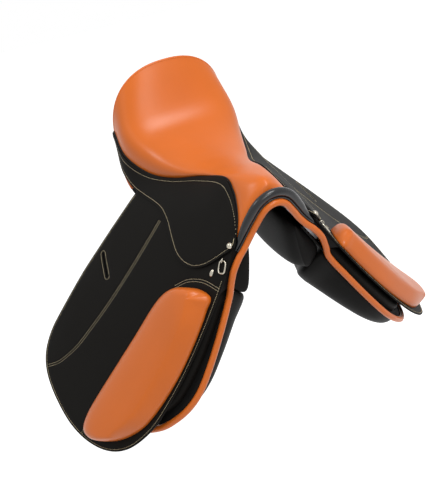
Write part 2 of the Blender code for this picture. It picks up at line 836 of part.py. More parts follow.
def hinge_middle(line, side):
    """The middle of a hinge line, where the moving pieces have their origin."""
    front, rear, depth = line
    middle = (wrap(*front, depth) + wrap(*rear, depth)) / 2
    middle.x *= side
    return middle


def place(y, s, depth, side):
    """A fitting's own frame on the form: z out of the leather, y up the side."""
    at = wrap(y, s, depth)
    out = side_normal(y, s)
    along = (side_point(y + 0.001, s) - side_point(y - 0.001, s)).normalized()
    at.x *= side
    out.x *= side
    along.x *= side
    along *= side
    up = out.cross(along)
    frame = Matrix((along, up, out)).transposed().to_4x4()
    frame.translation = at
    return frame


def add_prism(bm, outline, width):
    """Adds a straight prism: its outline in x and z, its width along y."""
    ends = [[bm.verts.new((x, sign * width / 2, z)) for x, z in outline] for sign in (-1, 1)]
    bm.faces.new(ends[0])
    bm.faces.new(list(reversed(ends[1])))
    for i in range(len(outline)):
        j = (i + 1) % len(outline)
        bm.faces.new((ends[0][i], ends[1][i], ends[1][j], ends[0][j]))
    bmesh.ops.recalc_face_normals(bm, faces=bm.faces)


def disc(centre_x, centre_z, radius, count=12):
    turns = [2 * math.pi * k / count for k in range(count)]
    return [(centre_x + radius * math.cos(turn), centre_z + radius * math.sin(turn)) for turn in turns]


def add_cutter(name, outline, width, frame):
    bm = bmesh.new()
    add_prism(bm, outline, width)
    made = add_mesh(name, bm, STEEL)
    made.matrix_world = frame
    made.hide_render = True
    made.display_type = "WIRE"
    return made


def cut(target, cutter):
    modifier = target.modifiers.new(cutter.name, "BOOLEAN")
    modifier.operation = "DIFFERENCE"
    modifier.object = cutter


def add_stirrup_bar(side, hand):
    """A hook of steel: a plate on the tree, a riser at its front and the bar over the slot, and a catch."""
    plate_in = BAR_OUTER_DEPTH + BAR_ROD + BAR_SLOT + BAR_PLATE
    frame = place(*BAR_PLACE, plate_in, side)
    half = BAR_LENGTH / 2
    slot_floor = BAR_PLATE
    slot_roof = BAR_PLATE + BAR_SLOT
    top = slot_roof + BAR_ROD
    hook = [
        (-half, 0),
        (half, 0),
        (half, slot_floor + CATCH_RADIUS),
        (half - 2 * CATCH_RADIUS, slot_floor + CATCH_RADIUS),
        (half - 2 * CATCH_RADIUS, slot_floor),
        (-half + BAR_RISER, slot_floor),
        (-half + BAR_RISER, slot_roof),
        (half - BAR_MOUTH, slot_roof),
        (half - BAR_MOUTH, top - BAR_CHAMFER),
        (half - BAR_MOUTH - BAR_CHAMFER, top),
        (-half + BAR_CHAMFER, top),
        (-half, top - BAR_CHAMFER),
    ]
    bm = bmesh.new()
    add_prism(bm, [(x * side, z) for x, z in hook], BAR_WIDTH)
    bar = add_mesh(f"stirrup_bar_{hand}", bm, STEEL)
    bar.matrix_world = frame
    pin_x = (half - CATCH_RADIUS) * side
    pin_z = slot_floor + CATCH_RADIUS / 2
    notch_start = half - 2.4 * CATCH_RADIUS
    notch = [
        (notch_start, -CUT_OVER),
        (half + CUT_OVER, -CUT_OVER),
        (half + CUT_OVER, top),
        (notch_start, top),
    ]
    notch_width = CATCH_WIDTH + 2 * CATCH_CLEAR
    cut(bar, add_cutter(f"catch_notch_{hand}", [(x * side, z) for x, z in notch], notch_width, frame))
    hole = disc(pin_x, pin_z, PIN_RADIUS + PIN_CLEAR)
    cut(bar, add_cutter(f"pin_hole_{hand}", hole, BAR_WIDTH + 2 * CUT_OVER, frame))
    bm = bmesh.new()
    add_prism(bm, disc(0, 0, PIN_RADIUS), BAR_WIDTH)
    pin = add_mesh(f"catch_pin_{hand}", bm, STEEL)
    pin_frame = frame @ Matrix.Translation((pin_x, 0, pin_z))
    pin.matrix_world = pin_frame
    arm = [(x, z) for x, z in disc(0, 0, CATCH_RADIUS, 16) if x < CATCH_RADIUS / 3]
    arm += [
        (CATCH_LENGTH, -CATCH_RADIUS),
        (CATCH_LENGTH, CATCH_TIP - CATCH_RADIUS),
        (CATCH_RADIUS, CATCH_RADIUS * 0.85),
    ]
    arm.sort(key=lambda p: math.atan2(p[1], p[0] - CATCH_RADIUS))
    bm = bmesh.new()
    add_prism(bm, [(x * side, z) for x, z in arm], CATCH_WIDTH)
    catch = add_mesh(f"bar_catch_{hand}", bm, NICKEL)
    catch.matrix_world = pin_frame
    cut(catch, add_cutter(f"catch_hole_{hand}", disc(0, 0, PIN_RADIUS + PIN_CLEAR), BAR_WIDTH, pin_frame))


def add_dome(name, frame, half_x, half_y, height, finish, count=16):
    """A domed head with a flat back."""
    rings = []
    for share in (1.0, 0.92, 0.70, 0.35):
        rise = height * math.sqrt(max(0.0, 1 - share**2)) if share < 1 else 0
        rings.append([Vector((half_x * x, half_y * y, rise)) for x, y in disc(0, 0, share, count)])
    made = add_loft(name, rings, finish)
    made.matrix_world = frame
    return made


def add_dee(side, hand):
    """The ring hangs by its top in a staple; its origin is on the ring's own top bar, which is its hinge."""
    lift = DEE_WIRE / 2 + 2 * CLEAR
    frame = place(*DEE_PLACE, -lift, side) @ Matrix.Rotation(-side * DEE_TILT, 4, "Z")
    count = 20
    half = (DEE_WIDTH - DEE_WIRE) / 2
    drop = DEE_DROP - DEE_WIRE
    points = []
    for k in range(count):
        angle = 2 * math.pi * k / count
        x = half * math.copysign(abs(math.cos(angle)) ** DEE_CORNER, math.cos(angle))
        y = -drop / 2 + drop / 2 * math.copysign(abs(math.sin(angle)) ** DEE_CORNER, math.sin(angle))
        points.append(Vector((x, y, 0)))
    ring = add_tube(f"dee_ring_{hand}", points, DEE_WIRE / 2, NICKEL, closed=True)
    ring.matrix_world = frame
    arc = [math.pi * k / 8 for k in range(9)]
    loop = [Vector((0, STAPLE_RADIUS * math.cos(a), STAPLE_RADIUS * math.sin(a) * 0.95)) for a in arc]
    foot = -lift + CLEAR
    ends = [Vector((0, STAPLE_RADIUS, foot)), Vector((0, -STAPLE_RADIUS, foot))]
    staple = add_tube(f"dee_staple_{hand}", [ends[0], *loop, ends[1]], STAPLE_WIRE / 2, NICKEL)
    staple.matrix_world = frame
    stud_frame = place(*STUD_PLACE, -CLEAR, side) @ Matrix.Rotation(side * STUD_TILT, 4, "Z")
    add_dome(f"dee_stud_{hand}", stud_frame, STUD_WIDTH / 2, STUD_LENGTH / 2, STUD_DOME, NICKEL)


def add_billet(name, y, top, end, side):
    """A strap with a row of punched holes and a pointed end, hung at a stitched joint near its top."""
    half = BILLET_WIDTH / 2
    hole = HOLE_RADIUS
    holes = [end - FIRST_HOLE - k * HOLE_PITCH for k in range(BILLET_HOLES)]
    cell = 2.2 * hole
    levels = [(end, half * BILLET_TIP_SHARE, False), (end - BILLET_TIP, half, False)]
    for s in holes:
        levels.append((s + cell, half, True))
        levels.append((s - cell, half, False))
    s = holes[-1] - cell
    while s - top > BILLET_STEP + BILLET_TIP:
        s -= BILLET_STEP
        levels.append((s, half, False))
    levels.append((top, half, False))
    bm = bmesh.new()
    rows = [[bm.verts.new((y + a * w, s, 0)) for a in (-1, 0, 1)] for s, w, _ in levels]
    for (low, high), (s, w, punched) in zip(zip(rows, rows[1:]), levels):
        if not punched:
            for j in (0, 1):
                bm.faces.new((low[j], low[j + 1], high[j + 1], high[j]))
            continue
        middle = s - cell
        sides = [bm.verts.new((y + a * half, middle, 0)) for a in (-1, 1)]
        outer = [low[0], low[1], low[2], sides[1], high[2], high[1], high[0], sides[0]]
        inner = []
        for k in range(8):
            angle = math.radians(135 - 45 * k)
            inner.append(bm.verts.new((y + hole * math.cos(angle), middle + hole * math.sin(angle), 0)))
        for k in range(8):
            n = (k + 1) % 8
            bm.faces.new((outer[k], outer[n], inner[n], inner[k]))
    bmesh.ops.remove_doubles(bm, verts=bm.verts, dist=0.00001)
    raised = bmesh.ops.extrude_face_region(bm, geom=bm.faces[:], use_keep_orig=True)["geom"]
    upper = {v for v in raised if isinstance(v, bmesh.types.BMVert)}
    for vert in bm.verts:
        py, ps, _ = vert.co
        vert.co = wrap(py, ps, BILLET_DEPTH if vert in upper else BILLET_DEPTH + BILLET_THICKNESS)
        vert.co.x *= side
    pivot = wrap(y, top + BILLET_PIVOT, BILLET_DEPTH + BILLET_THICKNESS / 2)
    pivot.x *= side
    return add_mesh(name, bm, LEATHER_BLACK, pivot)


def offset_line(line, distance):
    """A line in pattern coordinates moved to its left by a distance."""
    moved = []
    for i, (y, s) in enumerate(line):
        before = line[max(0, i - 1)]
        after = line[min(len(line) - 1, i + 1)]
        along = Vector((after[0] - before[0], after[1] - before[1])).normalized()
        moved.append((y + along.y * distance, s - along.x * distance))
    return moved


def piping_half():
    """The front piping's centre line on the left, from the middle of the arch to the sweat flap's bottom."""
    arch = [Vector(p) for p in ARCH_LINE]
    edge = [wrap(y, s, sweat_depth(y) + SWEAT_LEATHER / 2) for y, s in SWEAT_EDGE[PIPING_JOIN_COUNT:]]
    steps = 2
    line = smooth_curve(mirrored([arch[1]], -1) + arch + edge, steps)
    return [Vector(p) for p in line[steps:]]


def add_piping():
    half = piping_half()
    line = mirrored(reversed(half[1:]), -1) + half
    add_tube("front_piping", line, PIPING_DIAMETER / 2, LEATHER_ORANGE)
    facing = []
    radii = []
    span = [p for p in half if p.z > FACING_FOOT]
    for i, point in enumerate(span):
        before = span[i - 1] if i else mirrored([span[1]], -1)[0]
        after = span[i + 1] if i + 1 < len(span) else point * 2 - before
        along = after - before
        out = Vector((-along.z, 0, along.x)).normalized()
        taper = 1 - FACING_TAPER * (i / (len(span) - 1)) ** 2
        radii.append(taper)
        apart = PIPING_DIAMETER / 2 + FACING_DIAMETER / 2 * taper + CLEAR
        reach = math.sqrt(apart**2 - FACING_BACK**2)
        facing.append(point + out * reach + Vector((0, FACING_BACK, 0)))
    line = mirrored(reversed(facing[1:]), -1) + facing
    add_tube("pommel_facing", line, FACING_DIAMETER / 2, PATENT_BLACK, radii=radii[:0:-1] + radii)


def add_panel(side, hand):
    count = 16
    rings = []
    rows = [(y, *it, *ib, s_ob, s_ot) for y, it, ib, s_ob, s_ot in PANEL_SECTIONS]
    smooth = smooth_curve(rows, 2)
    for n, (y, itx, itz, ibx, ibz, s_ob, s_ot) in enumerate(smooth):
        depth = panel_depth(y)
        outer_bottom = wrap(y, s_ob, depth)
        outer_top = wrap(y, s_ot, depth)
        inner_top = Vector((itx, graded(y), itz))
        inner_bottom = Vector((ibx, graded(y), ibz))
        centre = (outer_bottom + outer_top + inner_top + inner_bottom) / 4
        ring = []
        for k in range(count):
            angle = 2 * math.pi * k / count
            u = math.copysign(abs(math.cos(angle)) ** 0.6, math.cos(angle))
            v = math.copysign(abs(math.sin(angle)) ** 0.6, math.sin(angle))
            across = (u + 1) / 2
            down = (v + 1) / 2
            inner = inner_top * (1 - down) + inner_bottom * down
            outer = wrap(y, s_ot * (1 - down) + s_ob * down, depth)
            point = inner * (1 - across) + outer * across
            ring.append(Vector((side * point.x, point.y, point.z)))
        middle = Vector((side * centre.x, centre.y, centre.z))
        if n in (0, len(smooth) - 1):
            cap = PANEL_CAPS[0] if n == 0 else PANEL_CAPS[1]
            shrunk = [middle + (p - middle) * PANEL_CAP_SHARE + Vector((0, cap, 0)) for p in ring]
            rings += [shrunk, ring] if n == 0 else [ring, shrunk]
        else:
            rings.append(ring)
    add_loft(f"panel_{hand}", rings, PANEL_BLACK)


def add_cantle_back():
    """The leather behind the cantle: rolled over the rim under the seat cover, then down to the panels."""
    angles = [math.pi / 2 * (2 * j / SEAT_COLUMNS - 1) for j in range(SEAT_COLUMNS + 1)]
    start = SEAT_LEATHER + CLEAR
    full = layer_depths(TREE, last_row)[1] + CLEAR
    outer = []
    inner = []
    for k in range(CANTLE_BACK_ROWS + 1):
        over = []
        under = []
        for angle in angles:
            up = math.cos(angle)
            rim = seat_at(last_row, angle, start)
            rolled = start + CANTLE_ROLL
            back = seat_at(last_row, angle, rolled + (full - rolled) * up) - Vector((0, 0, CANTLE_DROP))
            low = Vector((
                CANTLE_FOOT_HALF * math.sin(angle),
                graded(CANTLE_FOOT_Y - CANTLE_FOOT_CURVE * up),
                CANTLE_FOOT_Z + CANTLE_FOOT_RISE * (1 - up**2),
            ))
            bend = (rim + back) / 2 + Vector((0, CANTLE_BULGE, CANTLE_BULGE)) * up
            belly = back.lerp(low, CANTLE_BELLY_SHARE) + Vector((0, CANTLE_BELLY, 0)) * up
            at = (rim, bend, back, belly, low)[k]
            over.append(at)
            inwards = (
                (seat_at(last_row - 0.25, angle, start) - rim).normalized() * CANTLE_BACK_LEATHER
                if k == 0
                else Vector((-math.sin(angle) * 0.2, -1, -0.2 * up)) * CANTLE_BACK_LEATHER
            )
            under.append(at + inwards)
        outer.append(over)
        inner.append(under)
    add_plate("cantle_back", outer, inner, LEATHER_BLACK)


def add_gullet_lining():
    """The lining of the arch, from the front piping back between the panels."""
    steps = 2
    arch = [tuple(p) for p in piping_half()[: steps * (LINING_POINT_COUNT - 1) + 1]]
    start = ARCH_LINE[0][1] + PIPING_DIAMETER / 2 + CLEAR
    outer = []
    inner = []
    for k in range(LINING_ROWS + 1):
        t = k / LINING_ROWS
        over = []
        under = []
        for sign, points in ((-1, reversed(arch[1:])), (1, arch)):
            for x, y, z in points:
                half = x * (1 - t) + x * LINING_NARROWING * t
                back = y + PIPING_DIAMETER / 2 + CLEAR
                height = z - LINING_DROP * t * (z / ARCH_LINE[0][2])
                at = Vector((sign * half, back * (1 - t) + (start + LINING_LENGTH) * t, height))
                over.append(at)
                middle = Vector((0, at.y, 0.03))
                under.append(at + (middle - at).normalized() * LINING_LEATHER)
        outer.append(over)
        inner.append(under)
    add_plate("gullet_lining", outer, inner, PANEL_BLACK)


def add_side(side):
    hand = "left" if side > 0 else "right"
    bar_y, bar_s = BAR_PLACE
    window = (
        bar_y - BAR_LENGTH / 2 - BAR_ROOM,
        bar_s - BAR_WIDTH / 2 - BAR_ROOM,
        bar_y + BAR_LENGTH / 2 + CATCH_LENGTH + BAR_ROOM,
        bar_s + BAR_WIDTH / 2 + BAR_ROOM,
    )
    skirt_under = -SKIRT_CLEAR
    skirt_over = -SKIRT_CLEAR - SKIRT_LEATHER
    flap_origin = hinge_middle(FLAP_HINGE, side)
    skirt_origin = hinge_middle(SKIRT_HINGE, side)
    flap = (0, FLAP_LEATHER, LEATHER_BLACK, side)
    skirt = (skirt_over, skirt_under, LEATHER_BLACK, side)
    add_leather(f"flap_{hand}", FLAP_OUTLINE, *flap, slot=KEEPER_SLOT, origin=flap_origin)
    add_leather(f"flap_head_{hand}", FLAP_HEAD_OUTLINE, *flap, windows=[window])
    add_leather(f"skirt_{hand}", SKIRT_OUTLINE, *skirt, origin=skirt_origin)
    add_leather(f"skirt_band_{hand}", SKIRT_BAND_OUTLINE, *skirt)
    block = (BLOCK_OUTLINE, BLOCK_RIDGE, -CLEAR, BLOCK_HEIGHT)
    add_cushion(f"knee_block_{hand}", *block, LEATHER_ORANGE, side, origin=flap_origin)
    sweat_outline = offset_line(SWEAT_EDGE, PIPING_DIAMETER / 2 + 2 * CLEAR) + list(SWEAT_REAR)
    sweat_outline.append(SWEAT_CORNER)
    add_leather(
        f"sweat_flap_{hand}",
        sweat_outline,
        sweat_depth,
        lambda y: sweat_depth(y) + SWEAT_LEATHER,
        PANEL_BLACK,
        side,
    )
    room = SWEAT_DEPTH_FRONT - CLEAR - BILLET_DEPTH
    add_cushion(
        f"inner_knee_block_{hand}",
        INNER_BLOCK_OUTLINE,
        INNER_BLOCK_RIDGE,
        lambda y: sweat_depth(y) - CLEAR,
        room,
        LEATHER_BLACK,
        side,
        count=24,
    )
    add_cushion(
        f"knee_pad_{hand}",
        KNEE_PAD_OUTLINE,
        KNEE_PAD_RIDGE,
        lambda y: sweat_depth(y) + SWEAT_LEATHER + PANEL_CLEAR,
        (-KNEE_PAD_TOP, -KNEE_PAD_FOOT),
        PANEL_BLACK,
        side,
        count=24,
    )
    add_panel(side, hand)
    tail = smooth_curve([wrap(y, s, REAR_PIPING_DIAMETER / 2 + CLEAR) for y, s in REAR_PIPING_LINE], 3)
    add_tube(f"rear_piping_{hand}", mirrored(tail, side), REAR_PIPING_DIAMETER / 2, LEATHER_ORANGE)
    point_top = BAR_OUTER_DEPTH + BAR_ROD + BAR_SLOT + BAR_PLATE + CLEAR
    add_leather(
        f"tree_point_{hand}",
        POINT_OUTLINE,
        point_top,
        lambda y: sweat_depth(y) - CLEAR,
        STEEL,
        side,
    )
    add_stirrup_bar(side, hand)
    add_dee(side, hand)
    nail = place(*NAIL_PLACE, skirt_over - CLEAR, side)
    add_dome(f"skirt_nail_{hand}", nail, NAIL_DIAMETER / 2, NAIL_DIAMETER / 2, NAIL_DOME, NICKEL)
    for name, y, top, web_top, end in BILLETS:
        half = BILLET_WIDTH / 2 + WEB_OVER
        web_end = top + WEB_LAP
        outline = [(y - half, web_top), (y + half, web_top), (y + half, web_end), (y - half, web_end)]
        web = (WEB_DEPTH, WEB_DEPTH + WEB_THICKNESS, WEBBING, side)
        add_leather(f"{name}_billet_web_{hand}", outline, *web)
        add_billet(f"{name}_billet_{hand}", y, top, end, side)


def main():
    start_scene()
    add_seat()
    add_cantle_back()
    add_gullet_lining()
    add_piping()
    for side in (1, -1):
        add_side(side)


main()
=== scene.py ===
"""Dressage saddle: leather, padding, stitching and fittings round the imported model.

The front of the saddle faces -Y and +X is the rider's left. Pieces of the saddle's side are drawn flat, as
pattern points (y, s), where y runs back along the saddle and s runs down its side, and are then laid on the
form of the side at a depth under the flap's outer face.
"""

import math

import bmesh
import bpy
import numpy as np
from mathutils import Matrix, Vector
from mathutils.geometry import delaunay_2d_cdt


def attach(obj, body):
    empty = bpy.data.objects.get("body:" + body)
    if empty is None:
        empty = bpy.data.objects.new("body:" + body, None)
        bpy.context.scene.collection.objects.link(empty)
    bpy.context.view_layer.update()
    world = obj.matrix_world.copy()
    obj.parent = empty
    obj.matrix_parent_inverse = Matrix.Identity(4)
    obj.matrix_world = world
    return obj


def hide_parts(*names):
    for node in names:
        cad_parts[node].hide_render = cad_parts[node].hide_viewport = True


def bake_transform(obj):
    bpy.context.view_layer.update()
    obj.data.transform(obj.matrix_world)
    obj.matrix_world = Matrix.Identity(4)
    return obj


bl_info = {
    "name": "Dressage Saddle",
    "version": (1, 0, 0),
    "blender": (4, 5, 0),
    "location": "View3D > Sidebar > Saddle",
    "description": "Dresses the packed dressage saddle in leather, padding, stitching and fittings",
    "category": "Object",
}

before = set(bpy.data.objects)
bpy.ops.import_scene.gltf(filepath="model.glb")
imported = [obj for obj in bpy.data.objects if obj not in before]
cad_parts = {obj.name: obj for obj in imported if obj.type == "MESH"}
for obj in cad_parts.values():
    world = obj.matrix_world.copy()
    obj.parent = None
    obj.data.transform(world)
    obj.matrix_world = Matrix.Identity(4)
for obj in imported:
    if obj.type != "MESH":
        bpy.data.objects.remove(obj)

# Seat, form of the side and thicknesses, as in the model apart from the facing's taper
SEAT_SIZE = 0.457
NAIL_Y = -0.189
NAIL_HEIGHT = 0.035
CANTLE_HEIGHT = 0.284
POMMEL_HEIGHT = 0.143
PATTERN_SEAT = 0.374
SIDE_TOP = 0.040
SIDE_HALF_WIDTH = 0.084
SIDE_WIDENING = 0.226
FRONT_SLOPE = math.radians(31)
REAR_ROUNDING = 1.2
ROUNDING_START = 0.10
REAR_SLOPE = math.radians(43)
LOW_SLOPE = math.radians(41.5)
FLAP_LENGTH = 0.450
PATTERN_FLAP = 0.450
SKIRT_TOP = -0.080
FORM_FRONT = -0.21
FORM_REAR = 0.15
BEND_SHARE = 0.45  # of the length up to the seat's seam, for the bend above the side's top
CLEAR = 0.0003
SKIRT_CLEAR = 0.0007
PANEL_CLEAR = 0.0009
FLAP_LEATHER = 0.004
SKIRT_LEATHER = 0.004
SEAT_LEATHER = 0.0022
SWEAT_LEATHER = 0.0045
WEB_THICKNESS = 0.003
SEAT_WEB_THICKNESS = 0.002
BILLET_THICKNESS = 0.0035
BILLET_WIDTH = 0.026
FOAM_THICKNESS = 0.011
TREE_THICKNESS = 0.009
SPRING_THICKNESS = 0.002
PIPING_DIAMETER = 0.0125
REAR_PIPING_DIAMETER = 0.006
FACING_DIAMETER = 0.016
FACING_BACK = 0.0035
FACING_FOOT = 0.016
FACING_TAPER = 0.86
SWEAT_DEPTH_FRONT = 0.028
SWEAT_DEPTH_REAR = 0.0155
SWEAT_SINKS = (0.04, 0.12)  # pattern y where it starts to lie deeper, and over what length
PANEL_RISES = (0.11, 0.05)  # the same for the panel, which comes up under the skirt's tail
WEB_DEPTH = FLAP_LEATHER + CLEAR
BILLET_DEPTH = WEB_DEPTH + WEB_THICKNESS + CLEAR
SKIRT_FACE = -SKIRT_CLEAR - SKIRT_LEATHER

seat_level = math.sqrt(SEAT_SIZE**2 - SIDE_HALF_WIDTH**2 - (CANTLE_HEIGHT - NAIL_HEIGHT) ** 2)
grade = seat_level / PATTERN_SEAT

# The seat's seam: pattern y, half width, height
SEAM = (
    (-0.192, 0.071, 0.050),
    (-0.183, 0.060, 0.071),
    (-0.166, 0.049, 0.093),
    (-0.142, 0.040, 0.113),
    (-0.104, 0.036, 0.127),
    (-0.030, 0.050, 0.109),
    (0.043, 0.082, 0.091),
    (0.110, 0.110, 0.090),
    (0.176, 0.132, 0.116),
    (0.230, 0.129, 0.156),
)
# The seat's rows: the mid line's pattern y and height, how boxy the section is, and its dish
SEAT_LOW = 0.126
SEAT_ROWS = (
    (-0.203, POMMEL_HEIGHT - 0.0260, 1.6, 0.0),
    (-0.201, POMMEL_HEIGHT - 0.0150, 1.5, 0.0),
    (-0.196, POMMEL_HEIGHT - 0.0070, 1.4, 0.0),
    (-0.178, POMMEL_HEIGHT - 0.0010, 1.25, 0.0),
    (-0.131, POMMEL_HEIGHT - 0.0050, 1.0, 0.0),
    (-0.060, SEAT_LOW + 0.0020, 0.85, 0.0),
    (0.012, SEAT_LOW, 0.8, 0.002),
    (0.092, SEAT_LOW + 0.0170, 0.75, 0.006),
    (0.150, CANTLE_HEIGHT - 0.1010, 0.75, 0.012),
    (0.194, CANTLE_HEIGHT, 0.85, 0.0),
)
SEAT_STEPS = 8
SEAT_COLUMNS = 28  # to each side of the mid line
STRAP_COLUMNS = 20
FOAM_ROWS = (0.5, 8.5)
STRAP_ROWS = (1, 8.5)
SEAM_CURVE_STEPS = 40
CURVE_STEPS = 8  # points to each span of the other curves
EDGE_STEP = 0.004  # between the points of an edge
# Rows, and the share of their thickness that the layers under the cover have there
LAYER_SHARES = ((0, 4.5, 6.0, 7.2, 9.0), (0.5, 0.6, 1.0, 1.0, 0.5))
CLIMB_ROW = 5  # behind it the mid line climbs to the cantle
SEAT_LAYERS = (SEAT_LEATHER, FOAM_THICKNESS, SEAT_WEB_THICKNESS, TREE_THICKNESS, SPRING_THICKNESS)
LAST_ROW = len(SEAM) - 1

# Patterns, as points (y, s): the flap with its fixed head, and the skirt with its fixed band and short tail
FLAP_OUTLINE = (
    (-0.2110, 0.0720),
    (-0.2140, 0.140),
    (-0.2155, 0.215),
    (-0.2150, 0.270),
    (-0.2120, 0.320),
    (-0.2060, 0.372),
    (-0.1920, 0.413),
    (-0.1750, 0.441),
    (-0.1500, 0.462),
    (-0.1150, 0.475),
    (-0.0700, 0.479),
    (-0.0200, 0.472),
    (0.0340, 0.453),
    (0.0830, 0.428),
    (0.1170, 0.401),
    (0.1390, 0.371),
    (0.1510, 0.333),
    (0.1530, 0.290),
    (0.1500, 0.192),
    (0.1420, 0.125),
    (0.1345, 0.0720),
    (0.1240, 0.010),
    (0.1160, -0.030),
    (0.1000, -0.077),
    (-0.1700, -0.077),
    (-0.1840, -0.066),
    (-0.1930, -0.042),
    (-0.1990, -0.010),
    (-0.2070, 0.022),
    (-0.2090, 0.045),
)
FLAP_BEND = ((-0.035, 0.052), (-0.035, 0.094))
SKIRT_OUTLINE = (
    (0.2330, -0.0785),
    (0.2360, -0.0745),
    (0.2340, -0.0700),
    (0.2210, -0.0630),
    (0.1880, -0.0490),
    (0.1520, -0.0390),
    (0.1190, -0.0310),
    (0.0800, -0.0235),
    (0.0300, -0.0130),
    (0.0060, -0.004),
    (-0.0180, 0.010),
    (-0.0460, 0.034),
    (-0.0760, 0.057),
    (-0.1050, 0.067),
    (-0.1330, 0.066),
    (-0.1580, 0.053),
    (-0.1760, 0.036),
    (-0.1900, 0.0200),
    (-0.2020, 0.006),
    (-0.2080, -0.008),
    (-0.2060, -0.040),
    (-0.1960, -0.0785),
)
SKIRT_BEND = ((-0.0780, -0.0310), (-0.0735, -0.0070))
KEEPER_SLOT = ((0.119, 0.127), (0.074, 0.166), 0.004)
BAR_WINDOW = (-0.178, -0.005, -0.050, 0.015)
BLOCK_OUTLINE = (
    (-0.199, 0.101),
    (-0.170, 0.096),
    (-0.143, 0.103),
    (-0.120, 0.114),
    (-0.101, 0.135),
    (-0.089, 0.170),
    (-0.080, 0.235),
    (-0.071, 0.305),
    (-0.064, 0.370),
    (-0.062, 0.420),
    (-0.071, 0.455),
    (-0.096, 0.463),
    (-0.125, 0.453),
    (-0.152, 0.434),
    (-0.174, 0.408),
    (-0.190, 0.376),
    (-0.200, 0.328),
    (-0.206, 0.270),
    (-0.207, 0.215),
    (-0.205, 0.160),
    (-0.202, 0.125),
)
BLOCK_RIDGE = (
    (-0.170, 0.118),
    (-0.178, 0.160),
    (-0.179, 0.200),
    (-0.177, 0.250),
    (-0.172, 0.310),
    (-0.165, 0.370),
    (-0.145, 0.425),
)
BLOCK_HEIGHT = 0.033  # over the model's by 3 mm, as the photo's block stands higher
INNER_BLOCK_OUTLINE = (
    (-0.200, 0.085),
    (-0.165, 0.082),
    (-0.142, 0.105),
    (-0.134, 0.160),
    (-0.134, 0.250),
    (-0.140, 0.320),
    (-0.165, 0.352),
    (-0.195, 0.345),
    (-0.213, 0.310),
    (-0.218, 0.260),
    (-0.216, 0.200),
    (-0.209, 0.130),
)
INNER_BLOCK_RIDGE = ((-0.178, 0.105), (-0.180, 0.200), (-0.180, 0.270), (-0.178, 0.330))
KNEE_PAD_OUTLINE = (
    (-0.200, 0.084),
    (-0.140, 0.099),
    (-0.100, 0.104),
    (-0.084, 0.116),
    (-0.083, 0.200),
    (-0.083, 0.260),
    (-0.087, 0.335),
    (-0.120, 0.384),
    (-0.170, 0.385),
    (-0.205, 0.352),
    (-0.226, 0.308),
    (-0.231, 0.260),
    (-0.222, 0.200),
    (-0.209, 0.140),
)
KNEE_PAD_RIDGE = ((-0.150, 0.128), (-0.160, 0.200), (-0.165, 0.280), (-0.158, 0.345))
KNEE_PAD_TOP = 0.072
KNEE_PAD_FOOT = 0.040
ARCH_LINE = (
    (0.0000, -0.2190, POMMEL_HEIGHT - 0.0390),
    (0.0200, -0.2162, POMMEL_HEIGHT - 0.0470),
    (0.0380, -0.2105, POMMEL_HEIGHT - 0.0710),
    (0.0500, -0.2070, 0.0530),
    (0.0640, -0.2065, 0.0345),
    (0.0800, -0.2080, 0.0175),
    (0.0940, -0.2085, -0.0040),
    (0.1020, -0.2065, -0.0300),
)
PIPING_JOIN_COUNT = 2
SWEAT_EDGE = (
    (-0.1990, 0.005),
    (-0.2020, 0.045),
    (-0.2120, 0.095),
    (-0.2240, 0.155),
    (-0.2345, 0.220),
    (-0.2395, 0.275),
    (-0.2340, 0.315),
    (-0.2190, 0.350),
    (-0.1990, 0.378),
    (-0.1650, 0.402),
    (-0.1200, 0.415),
)
SWEAT_REAR = (
    (-0.1000, 0.412),
    (-0.0300, 0.398),
    (0.0300, 0.365),
    (0.0650, 0.310),
    (0.0820, 0.230),
    (0.0900, 0.120),
    (0.0950, -0.028),
)
SWEAT_CORNER = (-0.1875, -0.020)
PANEL_CAPS = (-0.005, 0.010)  # how far its ends swell out
PANEL_POWER = 0.6  # how square its section is
CAP_RINGS = 8
CAP_END = 7.3
# Panels: pattern y, inner top, inner bottom (both half width and height), then s of the outer bottom and top
PANEL_SECTIONS = (
    (-0.189, (0.045, 0.036), (0.062, -0.078), 0.078, 0.020),
    (-0.155, (0.036, 0.046), (0.048, -0.085), 0.090, 0.000),
    (-0.090, (0.033, 0.060), (0.042, -0.082), 0.092, -0.025),
    (-0.020, (0.034, 0.076), (0.040, -0.064), 0.070, -0.045),
    (0.050, (0.036, 0.078), (0.040, -0.008), 0.035, -0.050),
    (0.120, (0.037, 0.080), (0.042, 0.038), 0.002, -0.052),
    (0.180, (0.039, 0.094), (0.045, 0.056), -0.026, -0.060),
    (0.232, (0.042, 0.116), (0.048, 0.082), -0.050, -0.074),
)
REAR_PIPING_LINE = (
    (0.140, -0.0290),
    (0.160, -0.0350),
    (0.190, -0.0440),
    (0.220, -0.0560),
    (0.245, -0.0690),
)
CANTLE_BACK_LEATHER = 0.0025
CANTLE_ROLL = 0.003
CANTLE_DROP = 0.004
CANTLE_BULGE = 0.002
CANTLE_BELLY = 0.004
CANTLE_BELLY_SHARE = 0.4
CANTLE_FOOT_HALF = 0.124
CANTLE_FOOT_Y = 0.244
CANTLE_FOOT_CURVE = 0.024
CANTLE_FOOT_Z = 0.130
CANTLE_FOOT_RISE = 0.013
LINING_POINT_COUNT = 3
LINING_LEATHER = 0.002
LINING_LENGTH = 0.100
LINING_NARROWING = 0.72
LINING_DROP = 0.004
DEE_PLACE = (-0.1940, 0.0290)
DEE_TILT = math.radians(10)
DEE_WIDTH = 0.019
DEE_DROP = 0.026
DEE_CORNER = 0.62
DEE_WIRE = 0.0030
STAPLE_WIRE = 0.0018
STAPLE_RADIUS = 0.0042
STUD_PLACE = (-0.1780, 0.0590)
STUD_LENGTH = 0.015
STUD_WIDTH = 0.008
STUD_DOME = 0.0035
STUD_TILT = math.radians(3)
NAIL_PLACE = (-0.1985, -0.0060)
NAIL_DIAMETER = 0.0120
NAIL_DOME = 0.0045
